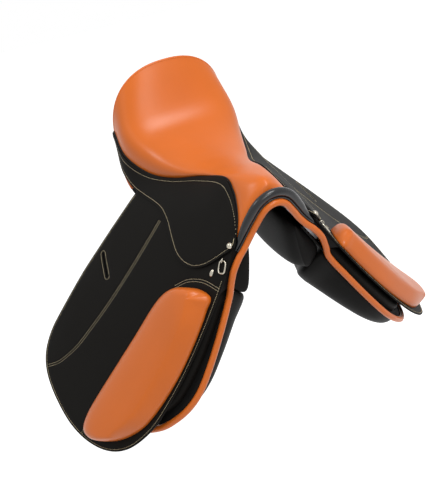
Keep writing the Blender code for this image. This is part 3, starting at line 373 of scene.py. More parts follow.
# Name, y, top, top of its web, lower end
BILLETS = (("front", -0.088, 0.034, 0.026, 0.430), ("rear", 0.020, 0.002, -0.068, 0.425))
WEB_LAP = 0.022
WEB_OVER = 0.001
BILLET_HOLES = 8
HOLE_PITCH = 0.025
HOLE_RADIUS = 0.0025
FIRST_HOLE = 0.045
BILLET_TIP = 0.015
BILLET_TIP_SHARE = 0.35
STRAP_EDGE = 0.0006  # radius of the straps' edges
STRAP_MARGIN = 0.003  # from a billet's edge to its pressed line
CREASE_TOP = 0.004  # from its upper end to that line, and from its lower end
CREASE_FOOT = 0.020


def smooth_curve(points, steps=CURVE_STEPS, closed=False):
    """Points on a smooth curve through the given ones, steps to each span."""
    points = [np.array(p, float) for p in points]
    if closed:
        ends = [points[-1]] + points + points[:2]
    else:
        ends = [2 * points[0] - points[1]] + points + [2 * points[-1] - points[-2]]
    curve = []
    for before, start, end, after in zip(ends, ends[1:], ends[2:], ends[3:]):
        for k in range(steps):
            t = k / steps
            curve.append(
                0.5
                * (
                    2 * start
                    + (end - before) * t
                    + (2 * before - 5 * start + 4 * end - after) * t**2
                    + (3 * start - before - 3 * end + after) * t**3
                )
            )
    if not closed:
        curve.append(points[-1])
    return curve


seam_curve = np.array(smooth_curve(SEAM, SEAM_CURVE_STEPS))
seat_curve = np.array(smooth_curve([(*seam, *row) for seam, row in zip(SEAM, SEAT_ROWS)], SEAT_STEPS))


def graded(y):
    """A pattern's y on the saddle of the chosen seat size."""
    return NAIL_Y + (y - NAIL_Y) * grade


def slope_at(y, s):
    """Angle of the side from the vertical."""
    top = FRONT_SLOPE + (REAR_SLOPE - FRONT_SLOPE) * (y - FORM_FRONT) / (FORM_REAR - FORM_FRONT)
    return top + (LOW_SLOPE - top) * s / PATTERN_FLAP


def side_point(y, s):
    """A pattern point on the side's form, which is the flap's outer face."""
    top = slope_at(y, 0)
    x = SIDE_HALF_WIDTH + SIDE_WIDENING * (graded(y) - FORM_FRONT)
    x -= REAR_ROUNDING * max(0, y - ROUNDING_START) ** 2
    if s < 0:
        seam_x = float(np.interp(y, seam_curve[:, 0], seam_curve[:, 1]))
        seam_z = float(np.interp(y, seam_curve[:, 0], seam_curve[:, 2]))
        start = Vector((x, graded(y), SIDE_TOP))
        end = Vector((seam_x, graded(y), seam_z))
        rise = (end - start).length * BEND_SHARE
        bend = start + Vector((-math.sin(top), 0, math.cos(top))) * rise
        t = s / SKIRT_TOP
        return start * (1 - t) ** 2 + bend * 2 * t * (1 - t) + end * t**2
    length = s * FLAP_LENGTH / PATTERN_FLAP
    turn = (slope_at(y, s) - top) or 1e-6
    out = length * (math.cos(top) - math.cos(top + turn)) / turn
    drop = length * (math.sin(top + turn) - math.sin(top)) / turn
    return Vector((x + out, graded(y), SIDE_TOP - drop))


def side_normal(y, s):
    step = 0.002
    along = side_point(y + step, s) - side_point(y - step, s)
    down = side_point(y, s + step) - side_point(y, s - step)
    return down.cross(along).normalized()


def on_side(y, s, depth):
    """A pattern point on the left side, depth under the flap's outer face."""
    return side_point(y, s) - side_normal(y, s) * depth


def eased(t):
    """A share from 0 to 1 that starts and ends softly."""
    t = min(1.0, max(0.0, t))
    return t * t * (3 - 2 * t)


def sweat_depth(y):
    """Depth of the sweat flap's outer face, which lies deeper at the front, under the knee block."""
    start, length = SWEAT_SINKS
    return SWEAT_DEPTH_REAR + (SWEAT_DEPTH_FRONT - SWEAT_DEPTH_REAR) * eased((start - y) / length)


def panel_depth(y):
    """Depth of the panel's outer face."""
    start, length = PANEL_RISES
    t = eased((y - start) / length)
    under_sweat = sweat_depth(y) + SWEAT_LEATHER + PANEL_CLEAR
    return under_sweat * (1 - t) + (REAR_PIPING_DIAMETER + 3 * CLEAR) * t


def seat_row(v):
    places = range(len(seat_curve))
    return [float(np.interp(v * SEAT_STEPS, places, column)) for column in seat_curve.T]


def seat_point(v, angle):
    """Point of the seat's outer face: v counts the rows, angle 0 is the mid line and +-90 the seams."""
    seam_y, half, seam_z, mid_y, mid_z, power, dish = seat_row(v)
    out = abs(math.sin(angle)) ** power * (1 if angle > 0 else -1)
    up = abs(math.cos(angle)) ** power
    y = graded(seam_y) + (graded(mid_y) - graded(seam_y)) * up
    return Vector((half * out, y, seam_z + (mid_z - seam_z) * up + dish * 4 * up * (1 - up)))


def seat_share(v):
    """How thick the layers are: full in the middle, thinner at the twist and the cantle's rim."""
    return float(np.interp(v, *LAYER_SHARES))


def seat_tilt(v):
    """Slope of the mid line where it climbs to the cantle."""
    if v < CLIMB_ROW:
        return 0.0
    before = seat_point(max(0, v - 0.25), 0)
    after = seat_point(min(LAST_ROW, v + 0.25), 0)
    return max(0.0, math.atan2(after.z - before.z, after.y - before.y))


def seam_to_seam(count):
    """Angles over the seat from the right seam to the left one, as many to each side."""
    return [math.pi / 2 * k / count for k in range(-count, count + 1)]


def seat_at(v, angle, depth):
    """A point depth under the seat's outer face: inwards at the seams, square to it in the middle."""
    _, half, seam_z, _, mid_z, power, _ = seat_row(v)
    out = abs(math.sin(angle)) ** power * (1 if angle > 0 else -1)
    up = abs(math.cos(angle)) ** power
    tilt = seat_tilt(v)
    arched = min(1.0, max(0.0, ((mid_z - seam_z) / half - 0.4) / 0.6))
    down = arched * up + (1 - arched)
    inwards = Vector((-out, down * math.sin(tilt), -down * math.cos(tilt)))
    return seat_point(v, angle) + inwards * depth


def layer_depths(layer, v):
    """Depths of a layer's two faces under the seat's outer face at row v."""
    top = 0.0
    for thickness in SEAT_LAYERS[:layer]:
        top += (thickness if top == 0 else thickness * seat_share(v)) + CLEAR
    return top, top + SEAT_LAYERS[layer] * (seat_share(v) if layer else 1)


def powered(value, power):
    """A value raised to a power, with its sign kept."""
    return math.copysign(abs(value) ** power, value)


def spaced(points, step, closed=False):
    """The same line with its points a step apart, its ends kept."""
    line = [np.array(p, float) for p in points]
    if closed:
        line = line + [line[0]]
    lengths = np.concatenate([[0], np.cumsum([np.linalg.norm(b - a) for a, b in zip(line, line[1:])])])
    count = max(2, round(lengths[-1] / step))
    line = np.array(line)
    at = np.linspace(0, lengths[-1], count + 1)
    found = np.column_stack([np.interp(at, lengths, line[:, k]) for k in range(line.shape[1])])
    return list(found[:-1] if closed else found)


def smooth_outline(points, step=0.003, corner=math.radians(48)):
    """A closed outline, smooth between its corners and turning from y to s."""
    points = [np.array(p, float) for p in points]
    count = len(points)
    area = sum(a[0] * b[1] - b[0] * a[1] for a, b in zip(points, points[1:] + points[:1]))
    if area < 0:
        points.reverse()
    corners = []
    for i, point in enumerate(points):
        before, after = point - points[i - 1], points[(i + 1) % count] - point
        turn = math.atan2(before[0] * after[1] - before[1] * after[0], float(before @ after))
        if abs(turn) > corner:
            corners.append(i)
    if not corners:
        return spaced(smooth_curve(points, closed=True), step, closed=True)
    outline = []
    for start, end in zip(corners, corners[1:] + [corners[0] + count]):
        span = [points[k % count] for k in range(start, end + 1)]
        outline += spaced(smooth_curve(span), step)[:-1]
    return outline


def inset(loop, distance):
    """A closed loop moved to its left by a distance."""
    moved = []
    count = len(loop)
    for i, point in enumerate(loop):
        before = point - loop[i - 1]
        after = loop[(i + 1) % count] - point
        before = before / np.linalg.norm(before)
        after = after / np.linalg.norm(after)
        along = before + after
        along = along / np.linalg.norm(along)
        share = max(0.6, float(along @ after))
        moved.append(point + np.array((-along[1], along[0])) * distance / share)
    return moved


def beside(line, distance):
    """An open line in pattern coordinates moved to its left by a distance."""
    moved = []
    for i, point in enumerate(line):
        along = np.array(line[min(len(line) - 1, i + 1)]) - np.array(line[max(0, i - 1)])
        along = along / np.linalg.norm(along)
        moved.append(np.array(point) + np.array((-along[1], along[0])) * distance)
    return moved


def inside_loop(points, loop):
    """Which of the points lie inside a closed loop."""
    points = np.array(points)
    loop = np.array(loop)
    found = np.zeros(len(points), bool)
    for a, b in zip(loop, np.roll(loop, -1, axis=0)):
        crosses = (a[1] > points[:, 1]) != (b[1] > points[:, 1])
        if crosses.any():
            share = (points[:, 1] - a[1]) / ((b[1] - a[1]) or 1e-12)
            found ^= crosses & (points[:, 0] < a[0] + share * (b[0] - a[0]))
    return found


def nearest(points, others):
    """Distance of each point to the nearest of the others."""
    points = np.array(points)
    others = np.array(others)
    return np.min(np.linalg.norm(points[:, None] - others[None], axis=2), axis=1)


def deselect():
    for chosen in list(bpy.context.selected_objects):
        chosen.select_set(False)
    bpy.context.view_layer.objects.active = None


def choose(piece):
    deselect()
    piece.select_set(True)
    bpy.context.view_layer.objects.active = piece


def add_piece(name, points, faces, finish, smooth=42):
    """A closed piece from its points and faces, turned outwards and shaded smooth up to an angle."""
    mesh = bpy.data.meshes.new(name)
    mesh.from_pydata([tuple(p) for p in points], [], [tuple(f) for f in faces])
    mesh.materials.append(finishes[finish])
    piece = bpy.data.objects.new(name, mesh)
    bpy.context.scene.collection.objects.link(piece)
    close_up(piece)
    choose(piece)
    bpy.ops.object.shade_smooth_by_angle(angle=math.radians(smooth))
    return piece


def close_up(piece):
    """Merges a piece's doubles and turns its faces outwards."""
    shape = bmesh.new()
    shape.from_mesh(piece.data)
    bmesh.ops.remove_doubles(shape, verts=shape.verts, dist=0.000002)
    bmesh.ops.dissolve_degenerate(shape, edges=shape.edges, dist=0.000001)
    bmesh.ops.recalc_face_normals(shape, faces=shape.faces)
    if shape.calc_volume(signed=True) < 0:
        bmesh.ops.reverse_faces(shape, faces=shape.faces)
    shape.to_mesh(piece.data)
    shape.free()


def settle(piece, body, nodes=()):
    """Says which body a piece rides on and hides the nodes it stands for."""
    if body:
        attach(piece, body)
    if nodes:
        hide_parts(*nodes)
    return piece


def pair(left, name, body="root", nodes=()):
    """Settles a left piece and its mirror image; the texts hold {} where the hand's name goes."""
    right = left.copy()
    right.data = left.data.copy()
    right.data.transform(Matrix.Scale(-1, 4, (1, 0, 0)))
    right.data.flip_normals()
    bpy.context.scene.collection.objects.link(right)
    for piece, hand in ((left, "left"), (right, "right")):
        piece.name = f"{name}_{hand}"
        piece.data.name = piece.name
        settle(piece, body and body.format(hand), [node.format(hand) for node in nodes])
    return left, right


def bend_pair(left, name, bend, depth, nodes=()):
    """Settles a left piece and its mirror image and bakes their places; the two points of the bend from the
    tree to the body are found, but the pieces are not bent.
    """
    pieces = pair(left, name, None, nodes)
    for piece, hand, sign in zip(pieces, ("left", "right"), (1, -1)):
        start, end = [on_side(*point, depth) for point in bend]
        start.x *= sign
        end.x *= sign
        tuple(start)
        tuple(end)
        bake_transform(piece)


def lay_leather(name, outline, top, bottom, finish, holes=(), creases=(), cell=0.007, edge=0.0012):
    """Leather cut flat along its outline and laid on the form.

    Its edges are round, and creases are pressed in under the stitches."""
    top_at = top if callable(top) else lambda y: top
    bottom_at = bottom if callable(bottom) else lambda y: bottom
    loops = [list(outline)] + [list(hole) for hole in holes]
    fill_loops = [inset(loop, edge) for loop in loops]
    flat = []
    borders = []
    for loop in fill_loops:
        start = len(flat)
        flat += loop
        borders += [(start + i, start + (i + 1) % len(loop)) for i in range(len(loop))]
    crease_points = []
    for line in creases:
        line = spaced(line, CREASE_STEP)
        crease_points += line
        flat += line + beside(line, CREASE_SIDE) + beside(line, -CREASE_SIDE)
    ys = np.array(outline)[:, 0]
    ss = np.array(outline)[:, 1]
    grid_y, grid_s = np.meshgrid(np.arange(ys.min(), ys.max(), cell), np.arange(ss.min(), ss.max(), cell))
    grid = np.column_stack([grid_y.ravel(), grid_s.ravel()])
    taken = np.array(flat)
    kept = inside_loop(grid, fill_loops[0]) & (nearest(grid, taken) > GRID_CLEAR * cell)
    for loop in fill_loops[1:]:
        kept &= ~inside_loop(grid, loop)
    flat += list(grid[kept])
    flat_points, _, triangles, *_ = delaunay_2d_cdt([Vector(p) for p in flat], borders, [], 1, 1e-7)
    middles = [np.mean([flat_points[i] for i in triangle], axis=0) for triangle in triangles]
    cut_out = np.zeros(len(triangles), bool)
    for loop in fill_loops[1:]:
        cut_out |= inside_loop(middles, loop)
    flat_array = np.array([tuple(p) for p in flat_points])
    dips = np.zeros(len(flat_array))
    if crease_points:
        dips = CREASE_DEPTH * (nearest(flat_array, crease_points) < CREASE_HALF)
    points = [on_side(y, s, top_at(y) + dip) for (y, s), dip in zip(flat_array, dips)]
    points += [on_side(y, s, bottom_at(y)) for y, s in flat_array]
    count = len(flat_array)
    faces = []
    for triangle, out in zip(triangles, cut_out):
        if not out:
            faces += [tuple(triangle), tuple(count + i for i in reversed(triangle))]
    for loop in loops:
        rings = []
        for inwards, lower, sunk in EDGE_ROUND:
            start = len(points)
            for y, s in inset(loop, edge * inwards):
                depth = bottom_at(y) - edge * sunk if lower else top_at(y) + edge * sunk
                points.append(on_side(y, s, depth))
            rings.append(range(start, len(points)))
        for ring, after in zip(rings, rings[1:]):
            for i in range(len(loop)):
                j = (i + 1) % len(loop)
                faces.append((ring[i], ring[j], after[j], after[i]))
    return add_piece(name, points, faces, finish)


def round_hole(y, s, radius, count=16):
    """A round hole in pattern coordinates, turning the other way than an outline."""
    turns = [-2 * math.pi * k / count for k in range(count)]
    return [np.array((y + radius * math.cos(turn), s + radius * math.sin(turn))) for turn in turns]


def slot_loop(start, end, width, step=0.003):
    """The outline of a slot with round ends, turning as a hole does."""
    start, end = np.array(start), np.array(end)
    along = (end - start) / np.linalg.norm(end - start)
    across = np.array((-along[1], along[0])) * width / 2
    loop = []
    for centre, heading in ((end, 1), (start, -1)):
        for k in range(9):
            turn = math.pi / 2 - math.pi * k / 8
            loop.append(centre + heading * (along * math.cos(turn) * width / 2 + across * math.sin(turn)))
    return spaced(loop, min(step, width / 3), closed=True)


def box_loop(low_y, low_s, high_y, high_s):
    corners = [(low_y, low_s), (low_y, high_s), (high_y, high_s), (high_y, low_s)]
    loop = []
    for start, end in zip(corners, corners[1:] + corners[:1]):
        loop += spaced([start, end], EDGE_STEP)[:-1]
    return loop


def add_rings(name, rings, finish):
    """A closed piece through rings of as many points each, with its two ends filled."""
    count = len(rings[0])
    points = [p for ring in rings for p in ring]
    faces = [tuple(range(count)), tuple(range(len(points) - count, len(points)))]
    for start in range(0, len(points) - count, count):
        for i in range(count):
            j = (i + 1) % count
            faces.append((start + i, start + j, start + count + j, start + count + i))
    return add_piece(name, points, faces, finish, smooth=60)


def add_cushion(name, outline, ridge, base, height, profile, finish, count=120, front=None):
    """A padded block on the form, its section given as shares inwards and rises; a negative height points in.

    front is the section before the ridge, where it isn't the same as behind it."""
    edge = spaced(smooth_curve(outline, closed=True), 0.001, closed=True)
    edge = spaced(edge, sum(np.linalg.norm(b - a) for a, b in zip(edge, edge[1:])) / count, closed=True)
    ridge = np.array(smooth_curve(ridge))
    tall = height if isinstance(height, tuple) else (height, height)
    rings = []
    for (rear_inwards, rear_rise), (front_inwards, front_rise) in zip(profile, front or profile):
        ring = []
        for point in edge:
            crest_s = min(max(point[1], ridge[0, 1]), ridge[-1, 1])
            middle = np.array((np.interp(crest_s, ridge[:, 1], ridge[:, 0]), crest_s))
            share = eased((middle[0] - point[0]) / FRONT_BLEND)
            inwards = rear_inwards * (1 - share) + front_inwards * share
            rise = rear_rise * (1 - share) + front_rise * share
            y, s = point * (1 - inwards) + middle * inwards
            depth = base(y) if callable(base) else base
            high = float(np.interp(s, (ridge[0, 1], ridge[-1, 1]), tall))
            ring.append(on_side(y, s, depth - high * rise))
        rings.append(ring)
    return add_rings(name, rings, finish)


def add_shell(name, outer, inner, finish, kept=None, smooth=60):
    """A closed sheet between two grids of points; kept lists its cells where some are left out."""
    rows, columns = len(outer), len(outer[0])
    points = [p for row in outer for p in row] + [p for row in inner for p in row]
    under = rows * columns
    kept = kept or {(i, j) for i in range(rows - 1) for j in range(columns - 1)}
    faces = []
    for i, j in sorted(kept):
        a, b = i * columns + j, (i + 1) * columns + j
        faces.append((a, b, b + 1, a + 1))
        faces.append((under + a, under + a + 1, under + b + 1, under + b))
        for neighbour, start, end in (
            ((i - 1, j), a, a + 1),
            ((i + 1, j), b, b + 1),
            ((i, j - 1), a, b),
            ((i, j + 1), a + 1, b + 1),
        ):
            if neighbour not in kept:
                faces.append((start, end, under + end, under + start))
    return add_piece(name, points, faces, finish, smooth)


def thicken(grid, thickness, towards):
    """The grid's points moved by a thickness, square to its surface, to the side where a point lies."""
    rows, columns = len(grid), len(grid[0])
    moved = []
    for i in range(rows):
        row = []
        for j in range(columns):
            down = grid[min(rows - 1, i + 1)][j] - grid[max(0, i - 1)][j]
            across = grid[i][min(columns - 1, j + 1)] - grid[i][max(0, j - 1)]
            out = down.cross(across).normalized()
            if out.dot(towards - grid[i][j]) < 0:
                out = -out
            row.append(grid[i][j] + out * thickness)
        moved.append(row)
    return moved


def add_cord(name, points, radius, finish, closed=False, radii=None, round_steps=4):
    """A round cord of leather or a wire: a curve with a round section, made a mesh."""
    data = bpy.data.curves.new(name, "CURVE")
    data.dimensions = "3D"
    data.bevel_depth = radius
    data.bevel_resolution = round_steps
    data.use_fill_caps = not closed
    spline = data.splines.new("POLY")
    spline.points.add(len(points) - 1)
    for i, (target, point) in enumerate(zip(spline.points, points)):
        target.co = (*point, 1)
        target.radius = radii[i] if radii else 1
    spline.use_cyclic_u = closed
    data.materials.append(finishes[finish])
    piece = bpy.data.objects.new(name, data)
    bpy.context.scene.collection.objects.link(piece)
    choose(piece)
    bpy.ops.object.convert(target="MESH")
    piece = bpy.context.view_layer.objects.active
    close_up(piece)
    bpy.ops.object.shade_smooth_by_angle(angle=math.radians(60))
    return piece


def place(y, s, depth):
    """A fitting's own frame on the left side: z out of the leather, y up the side."""
    out = side_normal(y, s)
    along = (side_point(y + 0.001, s) - side_point(y - 0.001, s)).normalized()
    up = out.cross(along)
    made = Matrix((along, up, out)).transposed().to_4x4()
    made.translation = on_side(y, s, depth)
    return made


def add_dome(name, where, half_x, half_y, height, finish):
    """A domed head: half a ball, flattened, with a flat back."""
    deselect()
    bpy.ops.mesh.primitive_uv_sphere_add(segments=32, ring_count=16, radius=1)
    piece = bpy.context.view_layer.objects.active
    piece.name = name
    bpy.ops.object.mode_set(mode="EDIT")
    bpy.ops.mesh.select_all(action="SELECT")
    bpy.ops.mesh.bisect(plane_co=(0, 0, 0), plane_no=(0, 0, 1), use_fill=True, clear_inner=True)
    bpy.ops.object.mode_set(mode="OBJECT")
    piece.data.transform(where @ Matrix.Diagonal((half_x, half_y, height, 1)))
    piece.data.materials.append(finishes[finish])
    close_up(piece)
    choose(piece)
    bpy.ops.object.shade_smooth_by_angle(angle=math.radians(50))
    return piece


CREASE_DEPTH = 0.0006
CREASE_STEP = 0.0035
CREASE_SIDE = 0.0022  # to the points beside it, where the leather is level again
CREASE_HALF = 0.0009
GRID_CLEAR = 0.55  # of a cell, between the sheet's own points and its seams and edges
# Section of a cut edge: share inwards, upper (0) or lower (1) face, and share into the leather from it
EDGE_ROUND = ((1, 0, 0), (0.3, 0, 0.3), (0, 0, 1), (0, 1, 1), (0.3, 1, 0.3), (1, 1, 0))
FRONT_BLEND = 0.020  # over which a block's front section takes over from its rear one
finishes = {}


class Value:
    """A value in a finish's nodes; arithmetic on it adds Math nodes."""

    def __init__(self, finish, socket):
        self.finish = finish
        self.socket = socket

    def joined(self, operation, first, second):
        return self.finish.node("ShaderNodeMath", {"operation": operation}, {0: first, 1: second})

    def __add__(self, other):
        return self.joined("ADD", self, other)

    def __radd__(self, other):
        return self.joined("ADD", other, self)

    def __sub__(self, other):
        return self.joined("SUBTRACT", self, other)

    def __rsub__(self, other):
        return self.joined("SUBTRACT", other, self)

    def __mul__(self, other):
        return self.joined("MULTIPLY", self, other)

    def __rmul__(self, other):
        return self.joined("MULTIPLY", other, self)


class Finish:
    """A material being made."""

    def __init__(self, name):
        self.material = bpy.data.materials.new(name)
        self.material.use_nodes = True
        self.tree = self.material.node_tree
        self.shader = self.tree.nodes["Principled BSDF"]
        self.at = self.node("ShaderNodeTexCoord", output="Object")
        finishes[name] = self.material

    def node(self, kind, settings=None, sockets=None, output=0):
        made = self.tree.nodes.new(kind)
        for key, value in (settings or {}).items():
            if key == "stops":
                ramp = made.color_ramp.elements
                for k, (position, colour) in enumerate(value):
                    stop = ramp[k] if k < 2 else ramp.new(position)
                    stop.position = position
                    stop.color = colour
            else:
                setattr(made, key, value)
        for key, value in (sockets or {}).items():
            self.feed(made.inputs[key], value)
        return Value(self, made.outputs[output])

    def feed(self, socket, value):
        if isinstance(value, Value):
            self.tree.links.new(value.socket, socket)
        else:
            socket.default_value = value

    def set(self, **sockets):
        for name, value in sockets.items():
            self.feed(self.shader.inputs[name.replace("_", " ")], value)

    def noise(self, scale, detail):
        """Soft noise over the piece."""
        return self.node("ShaderNodeTexNoise", None, {"Vector": self.at, "Scale": scale, "Detail": detail})

    def cells(self, scale, feature="F1"):
        """Small cells over the piece."""
        return self.node("ShaderNodeTexVoronoi", {"feature": feature}, {"Vector": self.at, "Scale": scale})

    def mixed(self, share, first, second):
        """One colour turning into another."""
        sockets = {0: share, 6: first, 7: second}
        return self.node("ShaderNodeMix", {"data_type": "RGBA"}, sockets, output=2)

    def bump(self, height, distance, strength=1.0):
        sockets = {"Height": height, "Distance": distance, "Strength": strength}
        self.set(Normal=self.node("ShaderNodeBump", None, sockets))


def shade(colour, share):
    return (*[channel * share for channel in colour[:3]], 1)


def leather(name, colour, roughness, specular, grain, pebble, coat=0.0, index=1.45):
    """Leather: a pebbled grain, broad cloudiness of the dye and patches rubbed smoother."""
    finish = Finish(name)
    cloud = finish.noise(7.0, 4.0)
    pores = finish.noise(grain * 2.2, 2.0)
    cells = finish.cells(grain, "SMOOTH_F1")
    tone = cloud * 0.8 + pores * 0.2
    finish.set(Base_Color=finish.mixed(tone, shade(colour, 0.84), shade(colour, 1.14)))
    finish.set(Roughness=(cloud - 0.5) * 0.16 + cells * 0.05 + (roughness - 0.02))
    finish.bump(cells * 0.7 + pores * 0.3, pebble)
    finish.set(Specular_IOR_Level=specular, IOR=index, Coat_Weight=coat, Coat_Roughness=0.18)
    return finish


def metal(name, colour, roughness, brushed):
    """Metal with fine scratches and a cloudy polish."""
    finish = Finish(name)
    cloud = finish.noise(60.0, 5.0)
    scratch = finish.noise(1400.0, 2.0)
    finish.set(Base_Color=finish.mixed(cloud, shade(colour, 0.86), shade(colour, 1.06)))
    finish.set(Roughness=(cloud - 0.5) * 0.14 + roughness)
    finish.bump(scratch, brushed)
    finish.set(Metallic=1.0)
    return finish


def wood(name, colour):
    """Laminated wood: thin layers with long grain."""
    finish = Finish(name)
    settings = {"wave_type": "BANDS", "bands_direction": "Z"}
    sockets = {"Vector": finish.at, "Scale": 120.0, "Distortion": 2.0, "Detail": 3.0}
    layers = finish.node("ShaderNodeTexWave", settings, sockets)
    pores = finish.noise(260.0, 4.0)
    finish.set(Base_Color=finish.mixed(layers * 0.7 + pores * 0.3, shade(colour, 0.72), shade(colour, 1.08)))
    finish.set(Roughness=pores * 0.2 + 0.5)
    finish.bump(pores, 0.0002)
    return finish


def foam(name, colour):
    """Latex foam: small open pores."""
    finish = Finish(name)
    pores = finish.cells(420.0)
    finish.set(Base_Color=finish.mixed(pores, shade(colour, 0.78), shade(colour, 1.05)))
    finish.set(Roughness=0.9)
    finish.bump(pores, 0.0008)
    return finish


def webbing(name, colour):
    """Woven webbing: two sets of threads at right angles."""
    finish = Finish(name)
    along = {"wave_type": "BANDS", "bands_direction": "Y"}
    across = {"wave_type": "BANDS", "bands_direction": "Z"}
    sockets = {"Vector": finish.at, "Scale": 190.0, "Distortion": 0.4, "Detail": 1.0}
    weft = finish.node("ShaderNodeTexWave", along, sockets)
    weave = weft * finish.node("ShaderNodeTexWave", across, sockets)
    finish.set(Base_Color=finish.mixed(weave, shade(colour, 0.6), shade(colour, 1.1)))
    finish.set(Roughness=0.85)
    finish.bump(weave, 0.0006)
    return finish


def thread(name, colour):
    """Waxed thread."""
    finish = Finish(name)
    twist = finish.noise(1800.0, 1.0)
    finish.set(Base_Color=finish.mixed(twist, shade(colour, 0.8), shade(colour, 1.15)))
    finish.set(Roughness=twist * 0.2 + 0.5)
    finish.bump(twist, 0.0002)
    return finish


class SaddleColours(bpy.types.PropertyGroup):
    """Colours of the saddle's finishes."""

    def colour(label, text, default):
        return bpy.props.FloatVectorProperty(
            name=label, description=text, subtype="COLOR", size=3, min=0, max=1, default=default
        )

    seat: colour("Seat", "Leather of the seat, knee blocks and piping", (0.73, 0.157, 0.014))
    black: colour("Flaps", "Leather of the flaps and skirts", (0.0068, 0.0061, 0.0052))
    facing: colour("Facing", "Glossy leather of the roll over the pommel", (0.0085, 0.0092, 0.0110))
    panel: colour("Panels", "Soft leather of the panels and linings", (0.0078, 0.0074, 0.0070))
    thread: colour("Thread", "Thread of the seams", (0.60, 0.51, 0.32))
    metal: colour("Fittings", "Nails, studs and dee rings", (0.50, 0.46, 0.38))
    steel: colour("Steel", "Stirrup bars and plates of the tree", (0.36, 0.36, 0.37))
    beech: colour("Tree", "Wood of the tree", (0.60, 0.42, 0.25))
    foam: colour("Foam", "Foam under the seat cover", (0.80, 0.74, 0.55))
    jute: colour("Webbing", "Straps under the seat and the billets' webs", (0.50, 0.41, 0.27))


class SaddleTrim(bpy.types.PropertyGroup):
    """Sizes of the saddle's seams and edges."""

    def length(label, text, default):
        return bpy.props.FloatProperty(
            name=label, description=text, default=default, min=0.0001, max=0.05, unit="LENGTH", precision=4
        )

    stitch: length("Stitch", "Length of one stitch", 0.0024)
    pitch: length("Pitch", "From one stitch to the next", 0.0032)
    thread: length("Thread", "Thickness of the thread", 0.0010)
    edge: length("Edge", "Radius of the cut edges of the leather", 0.0012)
    margin: length("Margin", "From the skirt's edge to its seam", 0.0050)
    flap_margin: length("Flap margin", "From the flap's edge to its seam", 0.0042)
    top_margin: length("Top margin", "From the seat's welt to the skirt's upper seam", 0.0100)
    twin: length("Twin seam", "Between the two rows of a double seam", 0.0050)
    welt: length("Welt", "Radius of the welt between seat and skirt", 0.0017)
    roll: length("Rim", "Radius of the roll round the cantle", 0.0030)


class SADDLE_OT_finishes(bpy.types.Operator):
    """Makes the saddle's finishes"""

    bl_idname = "saddle.make_finishes"
    bl_label = "Finishes"

    def execute(self, context):
        colours = context.scene.saddle_colours
        leather("orange_leather", colours.seat, 0.34, 0.55, 900.0, 0.00008, index=1.42)
        leather("black_leather", colours.black, 0.56, 0.22, 800.0, 0.00012, index=1.24)
        leather("glossy_black_leather", colours.facing, 0.26, 0.50, 1000.0, 0.00003, coat=0.25, index=1.38)
        leather("panel_leather", colours.panel, 0.50, 0.26, 700.0, 0.00016, index=1.24)
        leather("edge_leather", shade(colours.black, 1.1), 0.34, 0.30, 1500.0, 0.00003, index=1.35)
        metal("polished_nickel", colours.metal, 0.26, 0.00002)
        metal("dark_steel", colours.steel, 0.36, 0.00006)
        wood("laminated_beech", colours.beech)
        foam("seat_foam", colours.foam)
        webbing("jute_webbing", colours.jute)
        thread("waxed_thread", colours.thread)
        return {"FINISHED"}


def seat_grids(layer, rows, shares):
    """The two faces of a layer of the seat, over its rows and its shares of the way to the seams."""
    return [
        [[seat_at(v, math.pi / 2 * a, layer_depths(layer, v)[face]) for a in shares] for v in rows]
        for face in (0, 1)
    ]


STRAP_SHARE = 0.286  # of the way to the seams, for the straps along the seat
CROSS_STRAPS = ((5.5, 6.5), (7.0, 7.5))  # rows that the straps across it cover
WELT_SHIFT = Vector((0.0006, 0, -0.0004))
RIM_STEPS = 48
CANTLE_COLUMNS = 30


